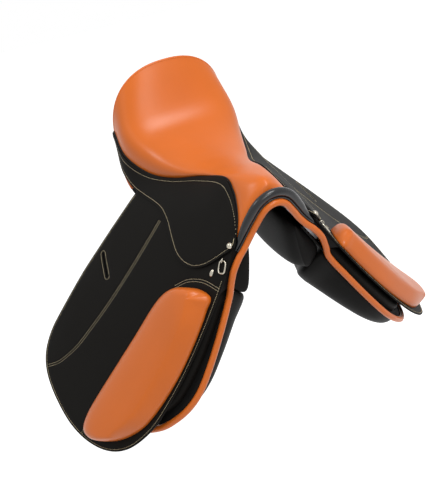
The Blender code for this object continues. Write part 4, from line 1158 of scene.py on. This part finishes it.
class SADDLE_OT_seat(bpy.types.Operator):
    """Makes the seat's cover, its foam and straps, its welts, and the back of the cantle"""

    bl_idname = "saddle.make_seat"
    bl_label = "Seat"

    def execute(self, context):
        trim = context.scene.saddle_trim
        rows = [k / SEAT_STEPS for k in range(LAST_ROW * SEAT_STEPS + 1)]
        shares = [math.sin(angle) for angle in seam_to_seam(SEAT_COLUMNS)]
        cover = add_shell("seat", *seat_grids(0, rows, shares), "orange_leather")
        settle(cover, "root", ["seat_cover"])
        foam_rows = [v for v in rows if FOAM_ROWS[0] <= v <= FOAM_ROWS[1]]
        foam_shares = [a * 6 / 7 for a in shares]
        padding = add_shell("seat_padding", *seat_grids(1, foam_rows, foam_shares), "seat_foam")
        settle(padding, "root", ["seat_foam"])
        strap_rows = [v for v in rows if STRAP_ROWS[0] <= v <= STRAP_ROWS[1]]
        strap_shares = [k / SEAT_COLUMNS for k in range(-STRAP_COLUMNS, STRAP_COLUMNS + 1)]
        kept = set()
        for i in range(len(strap_rows) - 1):
            for j in range(len(strap_shares) - 1):
                v = (strap_rows[i] + strap_rows[i + 1]) / 2
                a = abs(strap_shares[j] + strap_shares[j + 1]) / 2
                if a < STRAP_SHARE or any(low < v < high for low, high in CROSS_STRAPS):
                    kept.add((i, j))
        straps = add_shell("seat_straps", *seat_grids(2, strap_rows, strap_shares), "jute_webbing", kept)
        settle(straps, "root", ["seat_webbing"])
        self.add_trim(trim, rows)
        self.add_cantle_back()
        return {"FINISHED"}

    def add_trim(self, trim, rows):
        """The welts along the two seams and the roll round the cantle's rim."""
        seam = [seat_point(v, math.pi / 2) + WELT_SHIFT for v in rows]
        welt = add_cord("seat_welt", seam, trim.welt, "edge_leather")
        pair(welt, "seat_welt")
        rim = [seat_at(LAST_ROW, angle, SEAT_LEATHER) for angle in seam_to_seam(RIM_STEPS)]
        roll = add_cord("cantle_rim", rim, trim.roll, "orange_leather")
        settle(roll, "root")

    def add_cantle_back(self):
        """The leather rolled over the cantle's rim and down to the panels."""
        columns = seam_to_seam(CANTLE_COLUMNS)
        start = SEAT_LEATHER + CLEAR
        full = layer_depths(3, LAST_ROW)[1] + CLEAR
        rolled = start + CANTLE_ROLL
        paths = []
        for angle in columns:
            up = math.cos(angle)
            rim = seat_at(LAST_ROW, angle, start)
            back = seat_at(LAST_ROW, angle, rolled + (full - rolled) * up) - Vector((0, 0, CANTLE_DROP))
            foot_y = graded(CANTLE_FOOT_Y - CANTLE_FOOT_CURVE * up)
            foot_z = CANTLE_FOOT_Z + CANTLE_FOOT_RISE * (1 - up**2)
            low = Vector((CANTLE_FOOT_HALF * math.sin(angle), foot_y, foot_z))
            bend = (rim + back) / 2 + Vector((0, CANTLE_BULGE, CANTLE_BULGE)) * up
            belly = back.lerp(low, CANTLE_BELLY_SHARE) + Vector((0, CANTLE_BELLY, 0)) * up
            paths.append([Vector(p) for p in smooth_curve([rim, bend, back, belly, low], 6)])
        outer = [[path[k] for path in paths] for k in range(len(paths[0]))]
        inner = thicken(outer, CANTLE_BACK_LEATHER, Vector((0, 0, 0.1)))
        back = add_shell("cantle_leather", outer, inner, "black_leather")
        settle(back, "root", ["cantle_back"])


def arch_half(steps):
    """The front piping's line on the left, from the middle of the arch to the sweat flap's bottom."""
    arch = [Vector(p) for p in ARCH_LINE]
    edge = [on_side(y, s, sweat_depth(y) + SWEAT_LEATHER / 2) for y, s in SWEAT_EDGE[PIPING_JOIN_COUNT:]]
    across = Vector((-arch[1].x, arch[1].y, arch[1].z))
    return [Vector(p) for p in smooth_curve([across, *arch, *edge], steps)[steps:]]


def both_ways(half):
    """The left half's line carried over the middle, from the right end to the left one."""
    return [Vector((-p.x, p.y, p.z)) for p in reversed(half[1:])] + half


class SADDLE_OT_pommel(bpy.types.Operator):
    """Makes the pipings, the glossy facing with its bead, the lining of the arch and the front gussets"""

    bl_idname = "saddle.make_pommel"
    bl_label = "Pommel and piping"

    def execute(self, context):
        half = arch_half(10)
        piping = add_cord("piping", both_ways(half), PIPING_DIAMETER / 2, "orange_leather", round_steps=6)
        settle(piping, "root", ["front_piping"])
        self.add_facing(half)
        self.add_lining()
        self.add_gusset(half)
        tail = smooth_curve([on_side(y, s, REAR_PIPING_DIAMETER / 2 + CLEAR) for y, s in REAR_PIPING_LINE])
        rear = add_cord("tail_piping", tail, REAR_PIPING_DIAMETER / 2, "orange_leather")
        pair(rear, "tail_piping", nodes=["rear_piping_{}"])
        return {"FINISHED"}

    def add_facing(self, half):
        """A round roll beside the piping, which tapers down to its ends."""
        span = [p for p in half if p.z > FACING_FOOT + FACING_END]
        centres = []
        beads = []
        outs = []
        tapers = []
        for i, point in enumerate(span):
            before = span[i - 1] if i else Vector((-span[1].x, span[1].y, span[1].z))
            after = span[i + 1] if i + 1 < len(span) else point * 2 - before
            along = after - before
            out = Vector((-along.z, 0, along.x)).normalized()
            taper = 1 - FACING_TAPER * (i / (len(span) - 1)) ** FACING_POWER
            apart = PIPING_DIAMETER / 2 + 2 * BEAD_RADIUS + FACING_DIAMETER / 2 * taper + CLEAR
            reach = math.sqrt(apart**2 - FACING_BACK**2)
            centres.append(point + out * reach + Vector((0, FACING_BACK, 0)))
            beside_piping = out * (PIPING_DIAMETER / 2 + BEAD_RADIUS + CLEAR)
            beads.append(point + beside_piping + Vector((0, BEAD_BACK, 0)))
            outs.append(out)
            tapers.append(taper)
        centres = both_ways(centres)
        outs = both_ways(outs)
        tapers = tapers[:0:-1] + tapers
        rings = []
        for i, (centre, out, taper) in enumerate(zip(centres, outs, tapers)):
            along = centres[min(len(centres) - 1, i + 1)] - centres[max(0, i - 1)]
            front = along.normalized().cross(out).normalized()
            if front.y > 0:
                front = -front
            out = (out - along.normalized() * out.dot(along.normalized())).normalized()
            reach = FACING_DIAMETER / 2 * taper
            turns = [2 * math.pi * k / FACING_SIDES for k in range(FACING_SIDES)]
            rings.append([centre + (out * math.sin(turn) + front * math.cos(turn)) * reach for turn in turns])
        facing = add_rings("facing", rings, "glossy_black_leather")
        settle(facing, "root", ["pommel_facing"])
        bead = add_cord("facing_bead", both_ways(beads), BEAD_RADIUS, "glossy_black_leather")
        settle(bead, "root")

    def add_gusset(self, half):
        """The soft sheet that closes the front between the piping and the flap's front edge."""
        rows = 24
        columns = 8
        heights = [p.z for p in half]
        edge = smooth_outline(FLAP_OUTLINE)
        front = sorted((p[1], p[0]) for p in edge if p[0] < -0.15 and -0.07 < p[1] < 0.12)
        outer = []
        for k in range(rows + 1):
            t = k / rows
            z = GUSSET_HEIGHTS[0] * (1 - t) + GUSSET_HEIGHTS[1] * t
            i = min(range(len(half) // 2), key=lambda n: abs(heights[n] - z))
            start = half[i] + Vector((0, GUSSET_BACK, 0))
            s = GUSSET_REACH[0] * (1 - t) + GUSSET_REACH[1] * t
            y = float(np.interp(s, [p[0] for p in front], [p[1] for p in front]))
            end = on_side(y + 0.004, s, FLAP_LEATHER + 2 * CLEAR)
            outer.append([start.lerp(end, j / columns) for j in range(columns + 1)])
        inner = thicken(outer, GUSSET_LEATHER, Vector((0, 0.1, 0)))
        gusset = add_shell("gusset", outer, inner, "panel_leather")
        pair(gusset, "front_gusset")

    def add_lining(self):
        """The lining of the arch, from the piping back between the panels."""
        arch = arch_half(10)[: 10 * (LINING_POINT_COUNT - 1) + 1]
        start = ARCH_LINE[0][1] + PIPING_DIAMETER / 2 + CLEAR
        outer = []
        rows = 16
        for k in range(rows + 1):
            t = k / rows
            row = []
            for sign, points in ((-1, reversed(arch[1:])), (1, arch)):
                for x, y, z in points:
                    half = x * (1 - t) + x * LINING_NARROWING * t
                    front = y + PIPING_DIAMETER / 2 + CLEAR
                    height = z - LINING_DROP * t * (z / ARCH_LINE[0][2])
                    row.append(Vector((sign * half, front * (1 - t) + (start + LINING_LENGTH) * t, height)))
            outer.append(row)
        inner = thicken(outer, LINING_LEATHER, Vector((0, -0.15, 0.03)))
        lining = add_shell("arch_lining", outer, inner, "panel_leather")
        settle(lining, "root", ["gullet_lining"])


# Facing and gusset, where they differ from the model or are added to it
FACING_END = 0.008
FACING_POWER = 3  # how late it tapers
FACING_SIDES = 36
BEAD_RADIUS = 0.0019
BEAD_BACK = 0.0006
GUSSET_HEIGHTS = (0.070, -0.034)
GUSSET_REACH = (-0.072, 0.092)
GUSSET_LEATHER = 0.0015
GUSSET_BACK = 0.0050
FRONT_SEAM_START = 0.062
REAR_SEAM_START = -0.02
KEEPER_LAP = 0.006
KEEPER_BACKING = 0.0012
OVAL_MARGIN = 0.0085  # of the seam round the slot, both sides together
TAIL_TWIN = 0.004
FLAP_SEAM = (
    (0.0100, 0.011),
    (0.0250, 0.130),
    (0.0370, 0.212),
    (0.0500, 0.279),
    (0.0620, 0.329),
    (0.0840, 0.375),
    (0.1080, 0.399),
)
BLOCK_ARC = ((-0.108, 0.117), (-0.132, 0.095), (-0.167, 0.083), (-0.207, 0.084))
BLOCK_TAIL = ((-0.0610, 0.448), (-0.0590, 0.4735))


def flap_lines(trim):
    """The flap's seams: its margin, a long double one, those round the knee block and the keeper's oval."""
    outline = smooth_outline(FLAP_OUTLINE)
    edge = inset(outline, trim.flap_margin)
    margin = [p for p in edge if p[1] > (FRONT_SEAM_START if p[0] < 0 else REAR_SEAM_START)]
    start = max(range(len(margin)), key=lambda i: np.linalg.norm(margin[i] - margin[i - 1]))
    margin = margin[start:] + margin[:start]
    seam = smooth_curve(FLAP_SEAM)
    arc = smooth_curve(BLOCK_ARC)
    tail = smooth_curve(BLOCK_TAIL, 4)
    slot_start, slot_end, width = KEEPER_SLOT
    oval = slot_loop(slot_start, slot_end, width + OVAL_MARGIN)
    doubled = [seam, beside(seam, trim.twin), arc, beside(arc, trim.twin), tail, beside(tail, TAIL_TWIN)]
    return [margin, *doubled, oval]


class SADDLE_OT_flaps(bpy.types.Operator):
    """Makes the flaps, which bend under the skirt, and the sweat flaps"""

    bl_idname = "saddle.make_flaps"
    bl_label = "Flaps"

    def execute(self, context):
        trim = context.scene.saddle_trim
        start, end, width = KEEPER_SLOT
        holes = [slot_loop(start, end, width), box_loop(*BAR_WINDOW)]
        outline = smooth_outline(FLAP_OUTLINE)
        creases = flap_lines(trim)
        depth = FLAP_LEATHER + CLEAR
        patch = slot_loop(start, end, width + 2 * KEEPER_LAP)[::-1]
        lower = depth + KEEPER_BACKING
        backing = lay_leather("backing", patch, depth, lower, "black_leather", cell=0.004, edge=0.0004)
        pair(backing, "keeper_backing", "flap_{}")
        sheet = (outline, 0.0, FLAP_LEATHER, "black_leather", holes, creases)
        flap = lay_leather("flap", *sheet, edge=trim.edge)
        nodes = ["flap_{}", "flap_head_{}"]
        bend_pair(flap, "flap_leather", FLAP_BEND, FLAP_LEATHER / 2, nodes)
        edge = beside(spaced(smooth_curve(SWEAT_EDGE), EDGE_STEP), -PIPING_DIAMETER / 2 - 2 * CLEAR)
        if edge[5][0] < SWEAT_EDGE[0][0] - 0.02:
            raise RuntimeError("the sweat flap's edge lies on the wrong side of its piping")
        outline = [*edge, *spaced(smooth_curve([edge[-1], *SWEAT_REAR]), EDGE_STEP)[1:], SWEAT_CORNER]
        outline = smooth_outline(outline[::2], step=0.004)
        sheet = (outline, sweat_depth, lambda y: sweat_depth(y) + SWEAT_LEATHER, "panel_leather")
        sweat = lay_leather("sweat", *sheet, cell=0.009)
        pair(sweat, "sweat_leather", nodes=["sweat_flap_{}"])
        return {"FINISHED"}


SEAM_STEP = 0.003
WELT_ROOM = 0.0035
SEAM_CORNER = 0.004  # how far behind the front edge the upper seam starts


def skirt_lines(trim):
    """The skirt's seam: near the edge below and in front, further from the welt above."""
    outline = smooth_outline(SKIRT_OUTLINE)
    top_s = SKIRT_TOP + trim.top_margin
    loop = []
    for point, moved in zip(outline, inset(outline, trim.margin)):
        if point[1] >= SKIRT_TOP + WELT_ROOM and moved[1] > top_s:
            loop.append(moved)
    start = max(range(len(loop)), key=lambda i: np.linalg.norm(loop[i] - loop[i - 1]))
    loop = loop[start:] + loop[:start]
    top = [loop[-1], np.array((loop[-1][0] + SEAM_CORNER, top_s)), loop[0]]
    return [spaced(smooth_curve(loop[::4], 4), SEAM_STEP), spaced(top, SEAM_STEP)]


class SADDLE_OT_skirts(bpy.types.Operator):
    """Makes the skirts, whose loose lobe bends along its top"""

    bl_idname = "saddle.make_skirts"
    bl_label = "Skirts"

    def execute(self, context):
        trim = context.scene.saddle_trim
        outline = smooth_outline(SKIRT_OUTLINE)
        creases = skirt_lines(trim)
        sheet = (outline, SKIRT_FACE, -SKIRT_CLEAR, "black_leather", (), creases)
        skirt = lay_leather("skirt", *sheet, cell=0.006, edge=trim.edge)
        nodes = ["skirt_{}", "skirt_band_{}"]
        bend_pair(skirt, "skirt_leather", SKIRT_BEND, SKIRT_FACE, nodes)
        return {"FINISHED"}


# Sections of a padded block, behind its ridge and in front of it: share inwards and rise
BLOCK_FOOT = ((0.80, 0.0), (0.40, 0.0), (0.02, 0.0), (0.0, 0.02))
BLOCK_PROFILE = (
    *BLOCK_FOOT,
    (0.0, 0.12),
    (0.0, 0.26),
    (0.004, 0.38),
    (0.018, 0.48),
    (0.045, 0.57),
    (0.09, 0.665),
    (0.15, 0.755),
    (0.22, 0.825),
    (0.31, 0.885),
    (0.42, 0.935),
    (0.55, 0.97),
    (0.70, 0.99),
    (0.86, 1.0),
)
BLOCK_FRONT = (
    *BLOCK_FOOT,
    (0.0, 0.10),
    (0.006, 0.18),
    (0.03, 0.26),
    (0.08, 0.34),
    (0.16, 0.43),
    (0.25, 0.53),
    (0.35, 0.63),
    (0.45, 0.73),
    (0.55, 0.82),
    (0.65, 0.895),
    (0.75, 0.95),
    (0.85, 0.985),
    (0.93, 1.0),
)


class SADDLE_OT_knee_blocks(bpy.types.Operator):
    """Makes the knee blocks on the flaps and the blocks and pads under them"""

    bl_idname = "saddle.make_knee_blocks"
    bl_label = "Knee blocks and pads"

    def execute(self, context):
        block = add_cushion(
            "block",
            BLOCK_OUTLINE,
            BLOCK_RIDGE,
            -CLEAR,
            BLOCK_HEIGHT,
            BLOCK_PROFILE,
            "orange_leather",
            count=160,
            front=BLOCK_FRONT,
        )
        pair(block, "knee_roll", "flap_{}", ["knee_block_{}"])
        room = SWEAT_DEPTH_FRONT - CLEAR - BILLET_DEPTH
        inner = add_cushion(
            "inner",
            INNER_BLOCK_OUTLINE,
            INNER_BLOCK_RIDGE,
            lambda y: sweat_depth(y) - CLEAR,
            room,
            BLOCK_PROFILE,
            "black_leather",
        )
        pair(inner, "inner_roll", nodes=["inner_knee_block_{}"])
        pad = add_cushion(
            "pad",
            KNEE_PAD_OUTLINE,
            KNEE_PAD_RIDGE,
            lambda y: sweat_depth(y) + SWEAT_LEATHER + PANEL_CLEAR,
            (-KNEE_PAD_TOP, -KNEE_PAD_FOOT),
            BLOCK_PROFILE,
            "panel_leather",
        )
        pair(pad, "knee_padding", nodes=["knee_pad_{}"])
        return {"FINISHED"}


class SADDLE_OT_panels(bpy.types.Operator):
    """Makes the two panels that lie on the horse's back"""

    bl_idname = "saddle.make_panels"
    bl_label = "Panels"

    def execute(self, context):
        count = 72
        rows = [(y, *top, *bottom, low, high) for y, top, bottom, low, high in PANEL_SECTIONS]
        rings = []
        for y, top_x, top_z, low_x, low_z, s_low, s_high in smooth_curve(rows):
            depth = panel_depth(y)
            inner_top = Vector((top_x, graded(y), top_z))
            inner_bottom = Vector((low_x, graded(y), low_z))
            ring = []
            for k in range(count):
                turn = 2 * math.pi * k / count
                across = (powered(math.cos(turn), PANEL_POWER) + 1) / 2
                down = (powered(math.sin(turn), PANEL_POWER) + 1) / 2
                inner = inner_top.lerp(inner_bottom, down)
                outer = on_side(y, s_high * (1 - down) + s_low * down, depth)
                ring.append(inner.lerp(outer, across))
            rings.append(ring)
        front = self.cap(rings[0], PANEL_CAPS[0])
        rear = self.cap(rings[-1], PANEL_CAPS[1])
        panel = add_rings("panel", [*reversed(front), *rings, *rear], "panel_leather")
        pair(panel, "panel_cushion", nodes=["panel_{}"])
        return {"FINISHED"}

    def cap(self, ring, swell):
        """Rings that close an end as a shallow dome."""
        middle = sum(ring, Vector()) / len(ring)
        made = []
        for k in range(1, CAP_RINGS):
            turn = math.pi / 2 * k / CAP_END
            share = math.cos(turn) ** 0.5
            out = Vector((0, swell * math.sin(turn), 0))
            made.append([middle + (p - middle) * share + out for p in ring])
        return made


class SADDLE_OT_girth_straps(bpy.types.Operator):
    """Makes the billets with their holes and the webs that carry them"""

    bl_idname = "saddle.make_girth_straps"
    bl_label = "Girth straps"

    def execute(self, context):
        half = BILLET_WIDTH / 2
        for name, y, top, web_top, end in BILLETS:
            tip = half * BILLET_TIP_SHARE
            corners = [
                (y - half, top),
                (y + half, top),
                (y + half, end - BILLET_TIP),
                (y + tip, end),
                (y - tip, end),
                (y - half, end - BILLET_TIP),
            ]
            outline = []
            for a, b in zip(corners, corners[1:] + corners[:1]):
                outline += spaced([a, b], 0.005)[:-1]
            first = end - FIRST_HOLE
            radius = HOLE_RADIUS + STRAP_EDGE
            holes = [round_hole(y, first - k * HOLE_PITCH, radius) for k in range(BILLET_HOLES)]
            creases = []
            for sign in (1, -1):
                line_y = y + sign * (half - STRAP_MARGIN)
                creases.append([(line_y, top + CREASE_TOP), (line_y, end - CREASE_FOOT)])
            lower = BILLET_DEPTH + BILLET_THICKNESS
            sheet = (outline, BILLET_DEPTH, lower, "black_leather", holes, creases)
            strap = lay_leather(name, *sheet, cell=0.006, edge=STRAP_EDGE)
            pair(strap, f"{name}_strap", f"{name}_billet_{{}}", [f"{name}_billet_{{}}"])
            wide = half + WEB_OVER
            web_end = top + WEB_LAP
            outline = list(reversed(box_loop(y - wide, web_top, y + wide, web_end)))
            sheet = (outline, WEB_DEPTH, WEB_DEPTH + WEB_THICKNESS, "jute_webbing")
            web = lay_leather(name, *sheet, cell=0.006, edge=STRAP_EDGE)
            pair(web, f"{name}_web", nodes=[f"{name}_billet_web_{{}}"])
        return {"FINISHED"}


class SADDLE_OT_fittings(bpy.types.Operator):
    """Makes the nails, studs, dee rings and staples, and finishes the steel and wooden pieces"""

    bl_idname = "saddle.make_fittings"
    bl_label = "Fittings"

    def execute(self, context):
        where = place(*NAIL_PLACE, SKIRT_FACE - CLEAR)
        nail = add_dome("nail", where, NAIL_DIAMETER / 2, NAIL_DIAMETER / 2, NAIL_DOME, "polished_nickel")
        pair(nail, "nail_head", nodes=["skirt_nail_{}"])
        where = place(*STUD_PLACE, -CLEAR) @ Matrix.Rotation(STUD_TILT, 4, "Z")
        stud = add_dome("stud", where, STUD_WIDTH / 2, STUD_LENGTH / 2, STUD_DOME, "polished_nickel")
        pair(stud, "stud_head", nodes=["dee_stud_{}"])
        lift = DEE_WIRE / 2 + 2 * CLEAR
        where = place(*DEE_PLACE, -lift) @ Matrix.Rotation(-DEE_TILT, 4, "Z")
        half = (DEE_WIDTH - DEE_WIRE) / 2
        drop = DEE_DROP - DEE_WIRE
        ring = []
        for k in range(64):
            turn = 2 * math.pi * k / 64
            x = half * powered(math.cos(turn), DEE_CORNER)
            y = drop / 2 * (powered(math.sin(turn), DEE_CORNER) - 1)
            ring.append(where @ Vector((x, y, 0)))
        ring = [Vector(p) for p in spaced(ring, 0.0014, closed=True)]
        dee = add_cord("dee", ring, DEE_WIRE / 2, "polished_nickel", closed=True)
        pair(dee, "dee", "dee_ring_{}", ["dee_ring_{}"])
        foot = -lift + CLEAR
        loop = [Vector((0, STAPLE_RADIUS, foot))]
        for k in range(25):
            turn = math.pi * k / 24
            loop.append(Vector((0, STAPLE_RADIUS * math.cos(turn), STAPLE_RADIUS * math.sin(turn) * 0.95)))
        loop.append(Vector((0, -STAPLE_RADIUS, foot)))
        staple = add_cord("staple", [where @ p for p in loop], STAPLE_WIRE / 2, "polished_nickel")
        pair(staple, "staple", nodes=["dee_staple_{}"])
        kept = {"tree_frame": "laminated_beech", "gullet_plate": "dark_steel", "cantle_plate": "dark_steel"}
        for hand in ("left", "right"):
            for node in ("tree_point", "stirrup_bar", "catch_pin"):
                kept[f"{node}_{hand}"] = "dark_steel"
            kept[f"bar_catch_{hand}"] = "polished_nickel"
        for node, finish in kept.items():
            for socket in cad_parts[node].material_slots:
                socket.material = finishes[finish]
        return {"FINISHED"}


# A stitch: its place along the stitch and its reach in thread thicknesses, at each of its two rings
STITCH_RINGS = ((-0.30, 0.46), (0.30, 0.46))
STITCH_SLANT = math.radians(12)
STITCH_SINK = 0.55  # of the crease's depth


def add_stitches(name, lines, lift, trim):
    """A row of stitches along each line, each a small slanted thread half sunk into the leather."""
    points = []
    faces = []
    for line in lines:
        line = spaced(line, trim.pitch)
        for start, end in zip(line, line[1:]):
            y, s = (start + end) / 2
            out = side_normal(y, s)
            centre = on_side(y, s, lift)
            along = on_side(*end, lift) - on_side(*start, lift)
            along = (along - out * along.dot(out)).normalized()
            across = out.cross(along)
            along, across = (
                along * math.cos(STITCH_SLANT) + across * math.sin(STITCH_SLANT),
                across * math.cos(STITCH_SLANT) - along * math.sin(STITCH_SLANT),
            )
            first = len(points)
            points.append(centre - along * trim.stitch / 2)
            for place_along, reach in STITCH_RINGS:
                for k in range(6):
                    turn = math.pi / 3 * k
                    side = (across * math.cos(turn) + out * math.sin(turn)) * reach * trim.thread
                    points.append(centre + along * trim.stitch * place_along + side)
            points.append(centre + along * trim.stitch / 2)
            for k in range(6):
                n = (k + 1) % 6
                faces.append((first, first + 1 + n, first + 1 + k))
                faces.append((first + 1 + k, first + 1 + n, first + 7 + n, first + 7 + k))
                faces.append((first + 13, first + 7 + k, first + 7 + n))
    return add_piece(name, points, faces, "waxed_thread", smooth=80)


class SADDLE_OT_stitching(bpy.types.Operator):
    """Sews the seams of the flaps and skirts"""

    bl_idname = "saddle.make_stitching"
    bl_label = "Stitching"

    def execute(self, context):
        trim = context.scene.saddle_trim
        sunk = CREASE_DEPTH * STITCH_SINK
        on_flap = add_stitches("flap_seams", flap_lines(trim), sunk, trim)
        bend_pair(on_flap, "flap_seams", FLAP_BEND, FLAP_LEATHER / 2)
        on_skirt = add_stitches("skirt_seams", skirt_lines(trim), SKIRT_FACE + sunk, trim)
        bend_pair(on_skirt, "skirt_seams", SKIRT_BEND, SKIRT_FACE)
        return {"FINISHED"}


# The photo's camera: angles, roll, distance, focal length in pixels and shift of the aim
CAMERA_TURN = -0.38569
CAMERA_RISE = 0.50875
CAMERA_ROLL = -0.16704
CAMERA_DISTANCE = 1.49097
CAMERA_FOCUS = 727.87
CAMERA_AIM = (-0.01788, -0.07594)
PHOTO_HEIGHT = 500
SENSOR = 36.0
FLOOR_SIZE = 12
FLOOR_HEIGHT = -0.80
FLOOR_GLOW = 0.75  # added where the camera or a reflection sees the floor
WORLD_LIGHT = 0.36
# Name, place, size and watts of each lamp
LAMPS = (
    ("key", (0.30, -0.76, 1.80), 0.75, 18.0),
    ("side", (-1.30, 0.40, 1.48), 0.5, 6.0),
    ("front", (-0.10, -1.70, 1.25), 0.8, 9.0),
)


def camera_axes():
    """The camera's right, up and backward directions."""
    level = math.cos(CAMERA_RISE)
    back = Vector((math.sin(CAMERA_TURN) * level, -math.cos(CAMERA_TURN) * level, math.sin(CAMERA_RISE)))
    right = Vector((0, 0, 1)).cross(back).normalized()
    up = back.cross(right)
    c, s = math.cos(CAMERA_ROLL), math.sin(CAMERA_ROLL)
    return right * c + up * s, up * c - right * s, back


class SADDLE_OT_stage(bpy.types.Operator):
    """Makes the floor, the light and the camera"""

    bl_idname = "saddle.make_stage"
    bl_label = "Stage"

    def execute(self, context):
        right, up, back = camera_axes()
        where = right * CAMERA_AIM[0] + up * CAMERA_AIM[1] + back * CAMERA_DISTANCE
        deselect()
        bpy.ops.object.camera_add(location=where)
        camera = context.view_layer.objects.active
        camera.rotation_euler = Matrix((right, up, back)).transposed().to_euler()
        camera.data.sensor_fit = "VERTICAL"
        camera.data.sensor_height = SENSOR
        camera.data.lens = CAMERA_FOCUS * SENSOR / PHOTO_HEIGHT
        context.scene.camera = camera
        self.add_floor()
        self.add_world(context)
        for lamp in LAMPS:
            self.add_lamp(*lamp)
        context.scene.view_settings.view_transform = "Standard"
        return {"FINISHED"}

    def add_floor(self):
        """The floor, which is white where the camera and reflections see it."""
        deselect()
        bpy.ops.mesh.primitive_plane_add(size=FLOOR_SIZE, location=(0, 0, FLOOR_HEIGHT))
        floor = bpy.context.view_layer.objects.active
        floor.name = "studio_floor"
        finish = Finish("studio_floor")
        cloud = finish.node("ShaderNodeTexNoise", None, {"Vector": finish.at, "Scale": 0.4})
        tone = finish.mixed(cloud, (0.93, 0.93, 0.93, 1), (0.97, 0.97, 0.97, 1))
        finish.set(Base_Color=tone, Roughness=0.95, Specular_IOR_Level=0.1)
        path = finish.tree.nodes.new("ShaderNodeLightPath")
        glow = finish.tree.nodes.new("ShaderNodeEmission")
        glow.inputs["Strength"].default_value = 1.0
        glow.inputs["Color"].default_value = (FLOOR_GLOW, FLOOR_GLOW, FLOOR_GLOW, 1)
        mix = finish.tree.nodes.new("ShaderNodeAddShader")
        blend = finish.tree.nodes.new("ShaderNodeMixShader")
        seen = Value(finish, path.outputs["Is Camera Ray"]) + Value(finish, path.outputs["Is Glossy Ray"])
        seen = seen + Value(finish, path.outputs["Is Transmission Ray"])
        clamped = finish.node("ShaderNodeMath", {"operation": "MINIMUM"}, {0: seen, 1: 1.0})
        links = finish.tree.links
        links.new(finish.shader.outputs[0], mix.inputs[0])
        links.new(glow.outputs[0], mix.inputs[1])
        links.new(clamped.socket, blend.inputs[0])
        links.new(finish.shader.outputs[0], blend.inputs[1])
        links.new(mix.outputs[0], blend.inputs[2])
        links.new(blend.outputs[0], finish.tree.nodes["Material Output"].inputs["Surface"])
        floor.data.materials.append(finish.material)

    def add_world(self, context):
        """The soft light all round, and the white ground behind the saddle."""
        world = bpy.data.worlds.new("studio")
        world.use_nodes = True
        context.scene.world = world
        tree = world.node_tree
        light = tree.nodes["Background"]
        light.inputs["Color"].default_value = (1, 1, 1, 1)
        light.inputs["Strength"].default_value = WORLD_LIGHT
        white = tree.nodes.new("ShaderNodeBackground")
        white.inputs["Color"].default_value = (1, 1, 1, 1)
        white.inputs["Strength"].default_value = 1.0
        path = tree.nodes.new("ShaderNodeLightPath")
        first = tree.nodes.new("ShaderNodeMath")
        second = tree.nodes.new("ShaderNodeMath")
        second.use_clamp = True
        mix = tree.nodes.new("ShaderNodeMixShader")
        links = tree.links
        links.new(path.outputs["Is Camera Ray"], first.inputs[0])
        links.new(path.outputs["Is Glossy Ray"], first.inputs[1])
        links.new(first.outputs[0], second.inputs[0])
        links.new(path.outputs["Is Transmission Ray"], second.inputs[1])
        links.new(second.outputs[0], mix.inputs[0])
        links.new(light.outputs[0], mix.inputs[1])
        links.new(white.outputs[0], mix.inputs[2])
        links.new(mix.outputs[0], tree.nodes["World Output"].inputs["Surface"])

    def add_lamp(self, name, where, size, power):
        """A square lamp that points at the saddle's middle."""
        deselect()
        bpy.ops.object.light_add(type="AREA", location=where)
        lamp = bpy.context.view_layer.objects.active
        lamp.name = name
        lamp.rotation_euler = Vector(where).to_track_quat("Z", "Y").to_euler()
        lamp.data.size = size
        lamp.data.energy = power


class SADDLE_PT_panel(bpy.types.Panel):
    """Lists the saddle's pieces, sizes and colours"""

    bl_label = "Dressage Saddle"
    bl_idname = "SADDLE_PT_panel"
    bl_space_type = "VIEW_3D"
    bl_region_type = "UI"
    bl_category = "Saddle"

    def draw(self, context):
        for group in (context.scene.saddle_colours, context.scene.saddle_trim):
            box = self.layout.box()
            for name in group.bl_rna.properties.keys():
                if name not in ("rna_type", "name"):
                    box.prop(group, name)
        for operator in OPERATORS:
            self.layout.operator(operator.bl_idname)


OPERATORS = (
    SADDLE_OT_finishes,
    SADDLE_OT_seat,
    SADDLE_OT_pommel,
    SADDLE_OT_flaps,
    SADDLE_OT_skirts,
    SADDLE_OT_knee_blocks,
    SADDLE_OT_panels,
    SADDLE_OT_girth_straps,
    SADDLE_OT_fittings,
    SADDLE_OT_stitching,
    SADDLE_OT_stage,
)
CLASSES = (SaddleColours, SaddleTrim, *OPERATORS, SADDLE_PT_panel)


def register():
    for kind in CLASSES:
        bpy.utils.register_class(kind)
    bpy.types.Scene.saddle_colours = bpy.props.PointerProperty(type=SaddleColours)
    bpy.types.Scene.saddle_trim = bpy.props.PointerProperty(type=SaddleTrim)


def unregister():
    del bpy.types.Scene.saddle_trim
    del bpy.types.Scene.saddle_colours
    for kind in reversed(CLASSES):
        bpy.utils.unregister_class(kind)


def main():
    register()
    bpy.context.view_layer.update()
    bpy.ops.saddle.make_finishes()
    bpy.ops.saddle.make_seat()
    bpy.ops.saddle.make_pommel()
    bpy.ops.saddle.make_flaps()
    bpy.ops.saddle.make_skirts()
    bpy.ops.saddle.make_knee_blocks()
    bpy.ops.saddle.make_panels()
    bpy.ops.saddle.make_girth_straps()
    bpy.ops.saddle.make_fittings()
    bpy.ops.saddle.make_stitching()
    bpy.ops.saddle.make_stage()


if __name__ == "__main__":
    main()
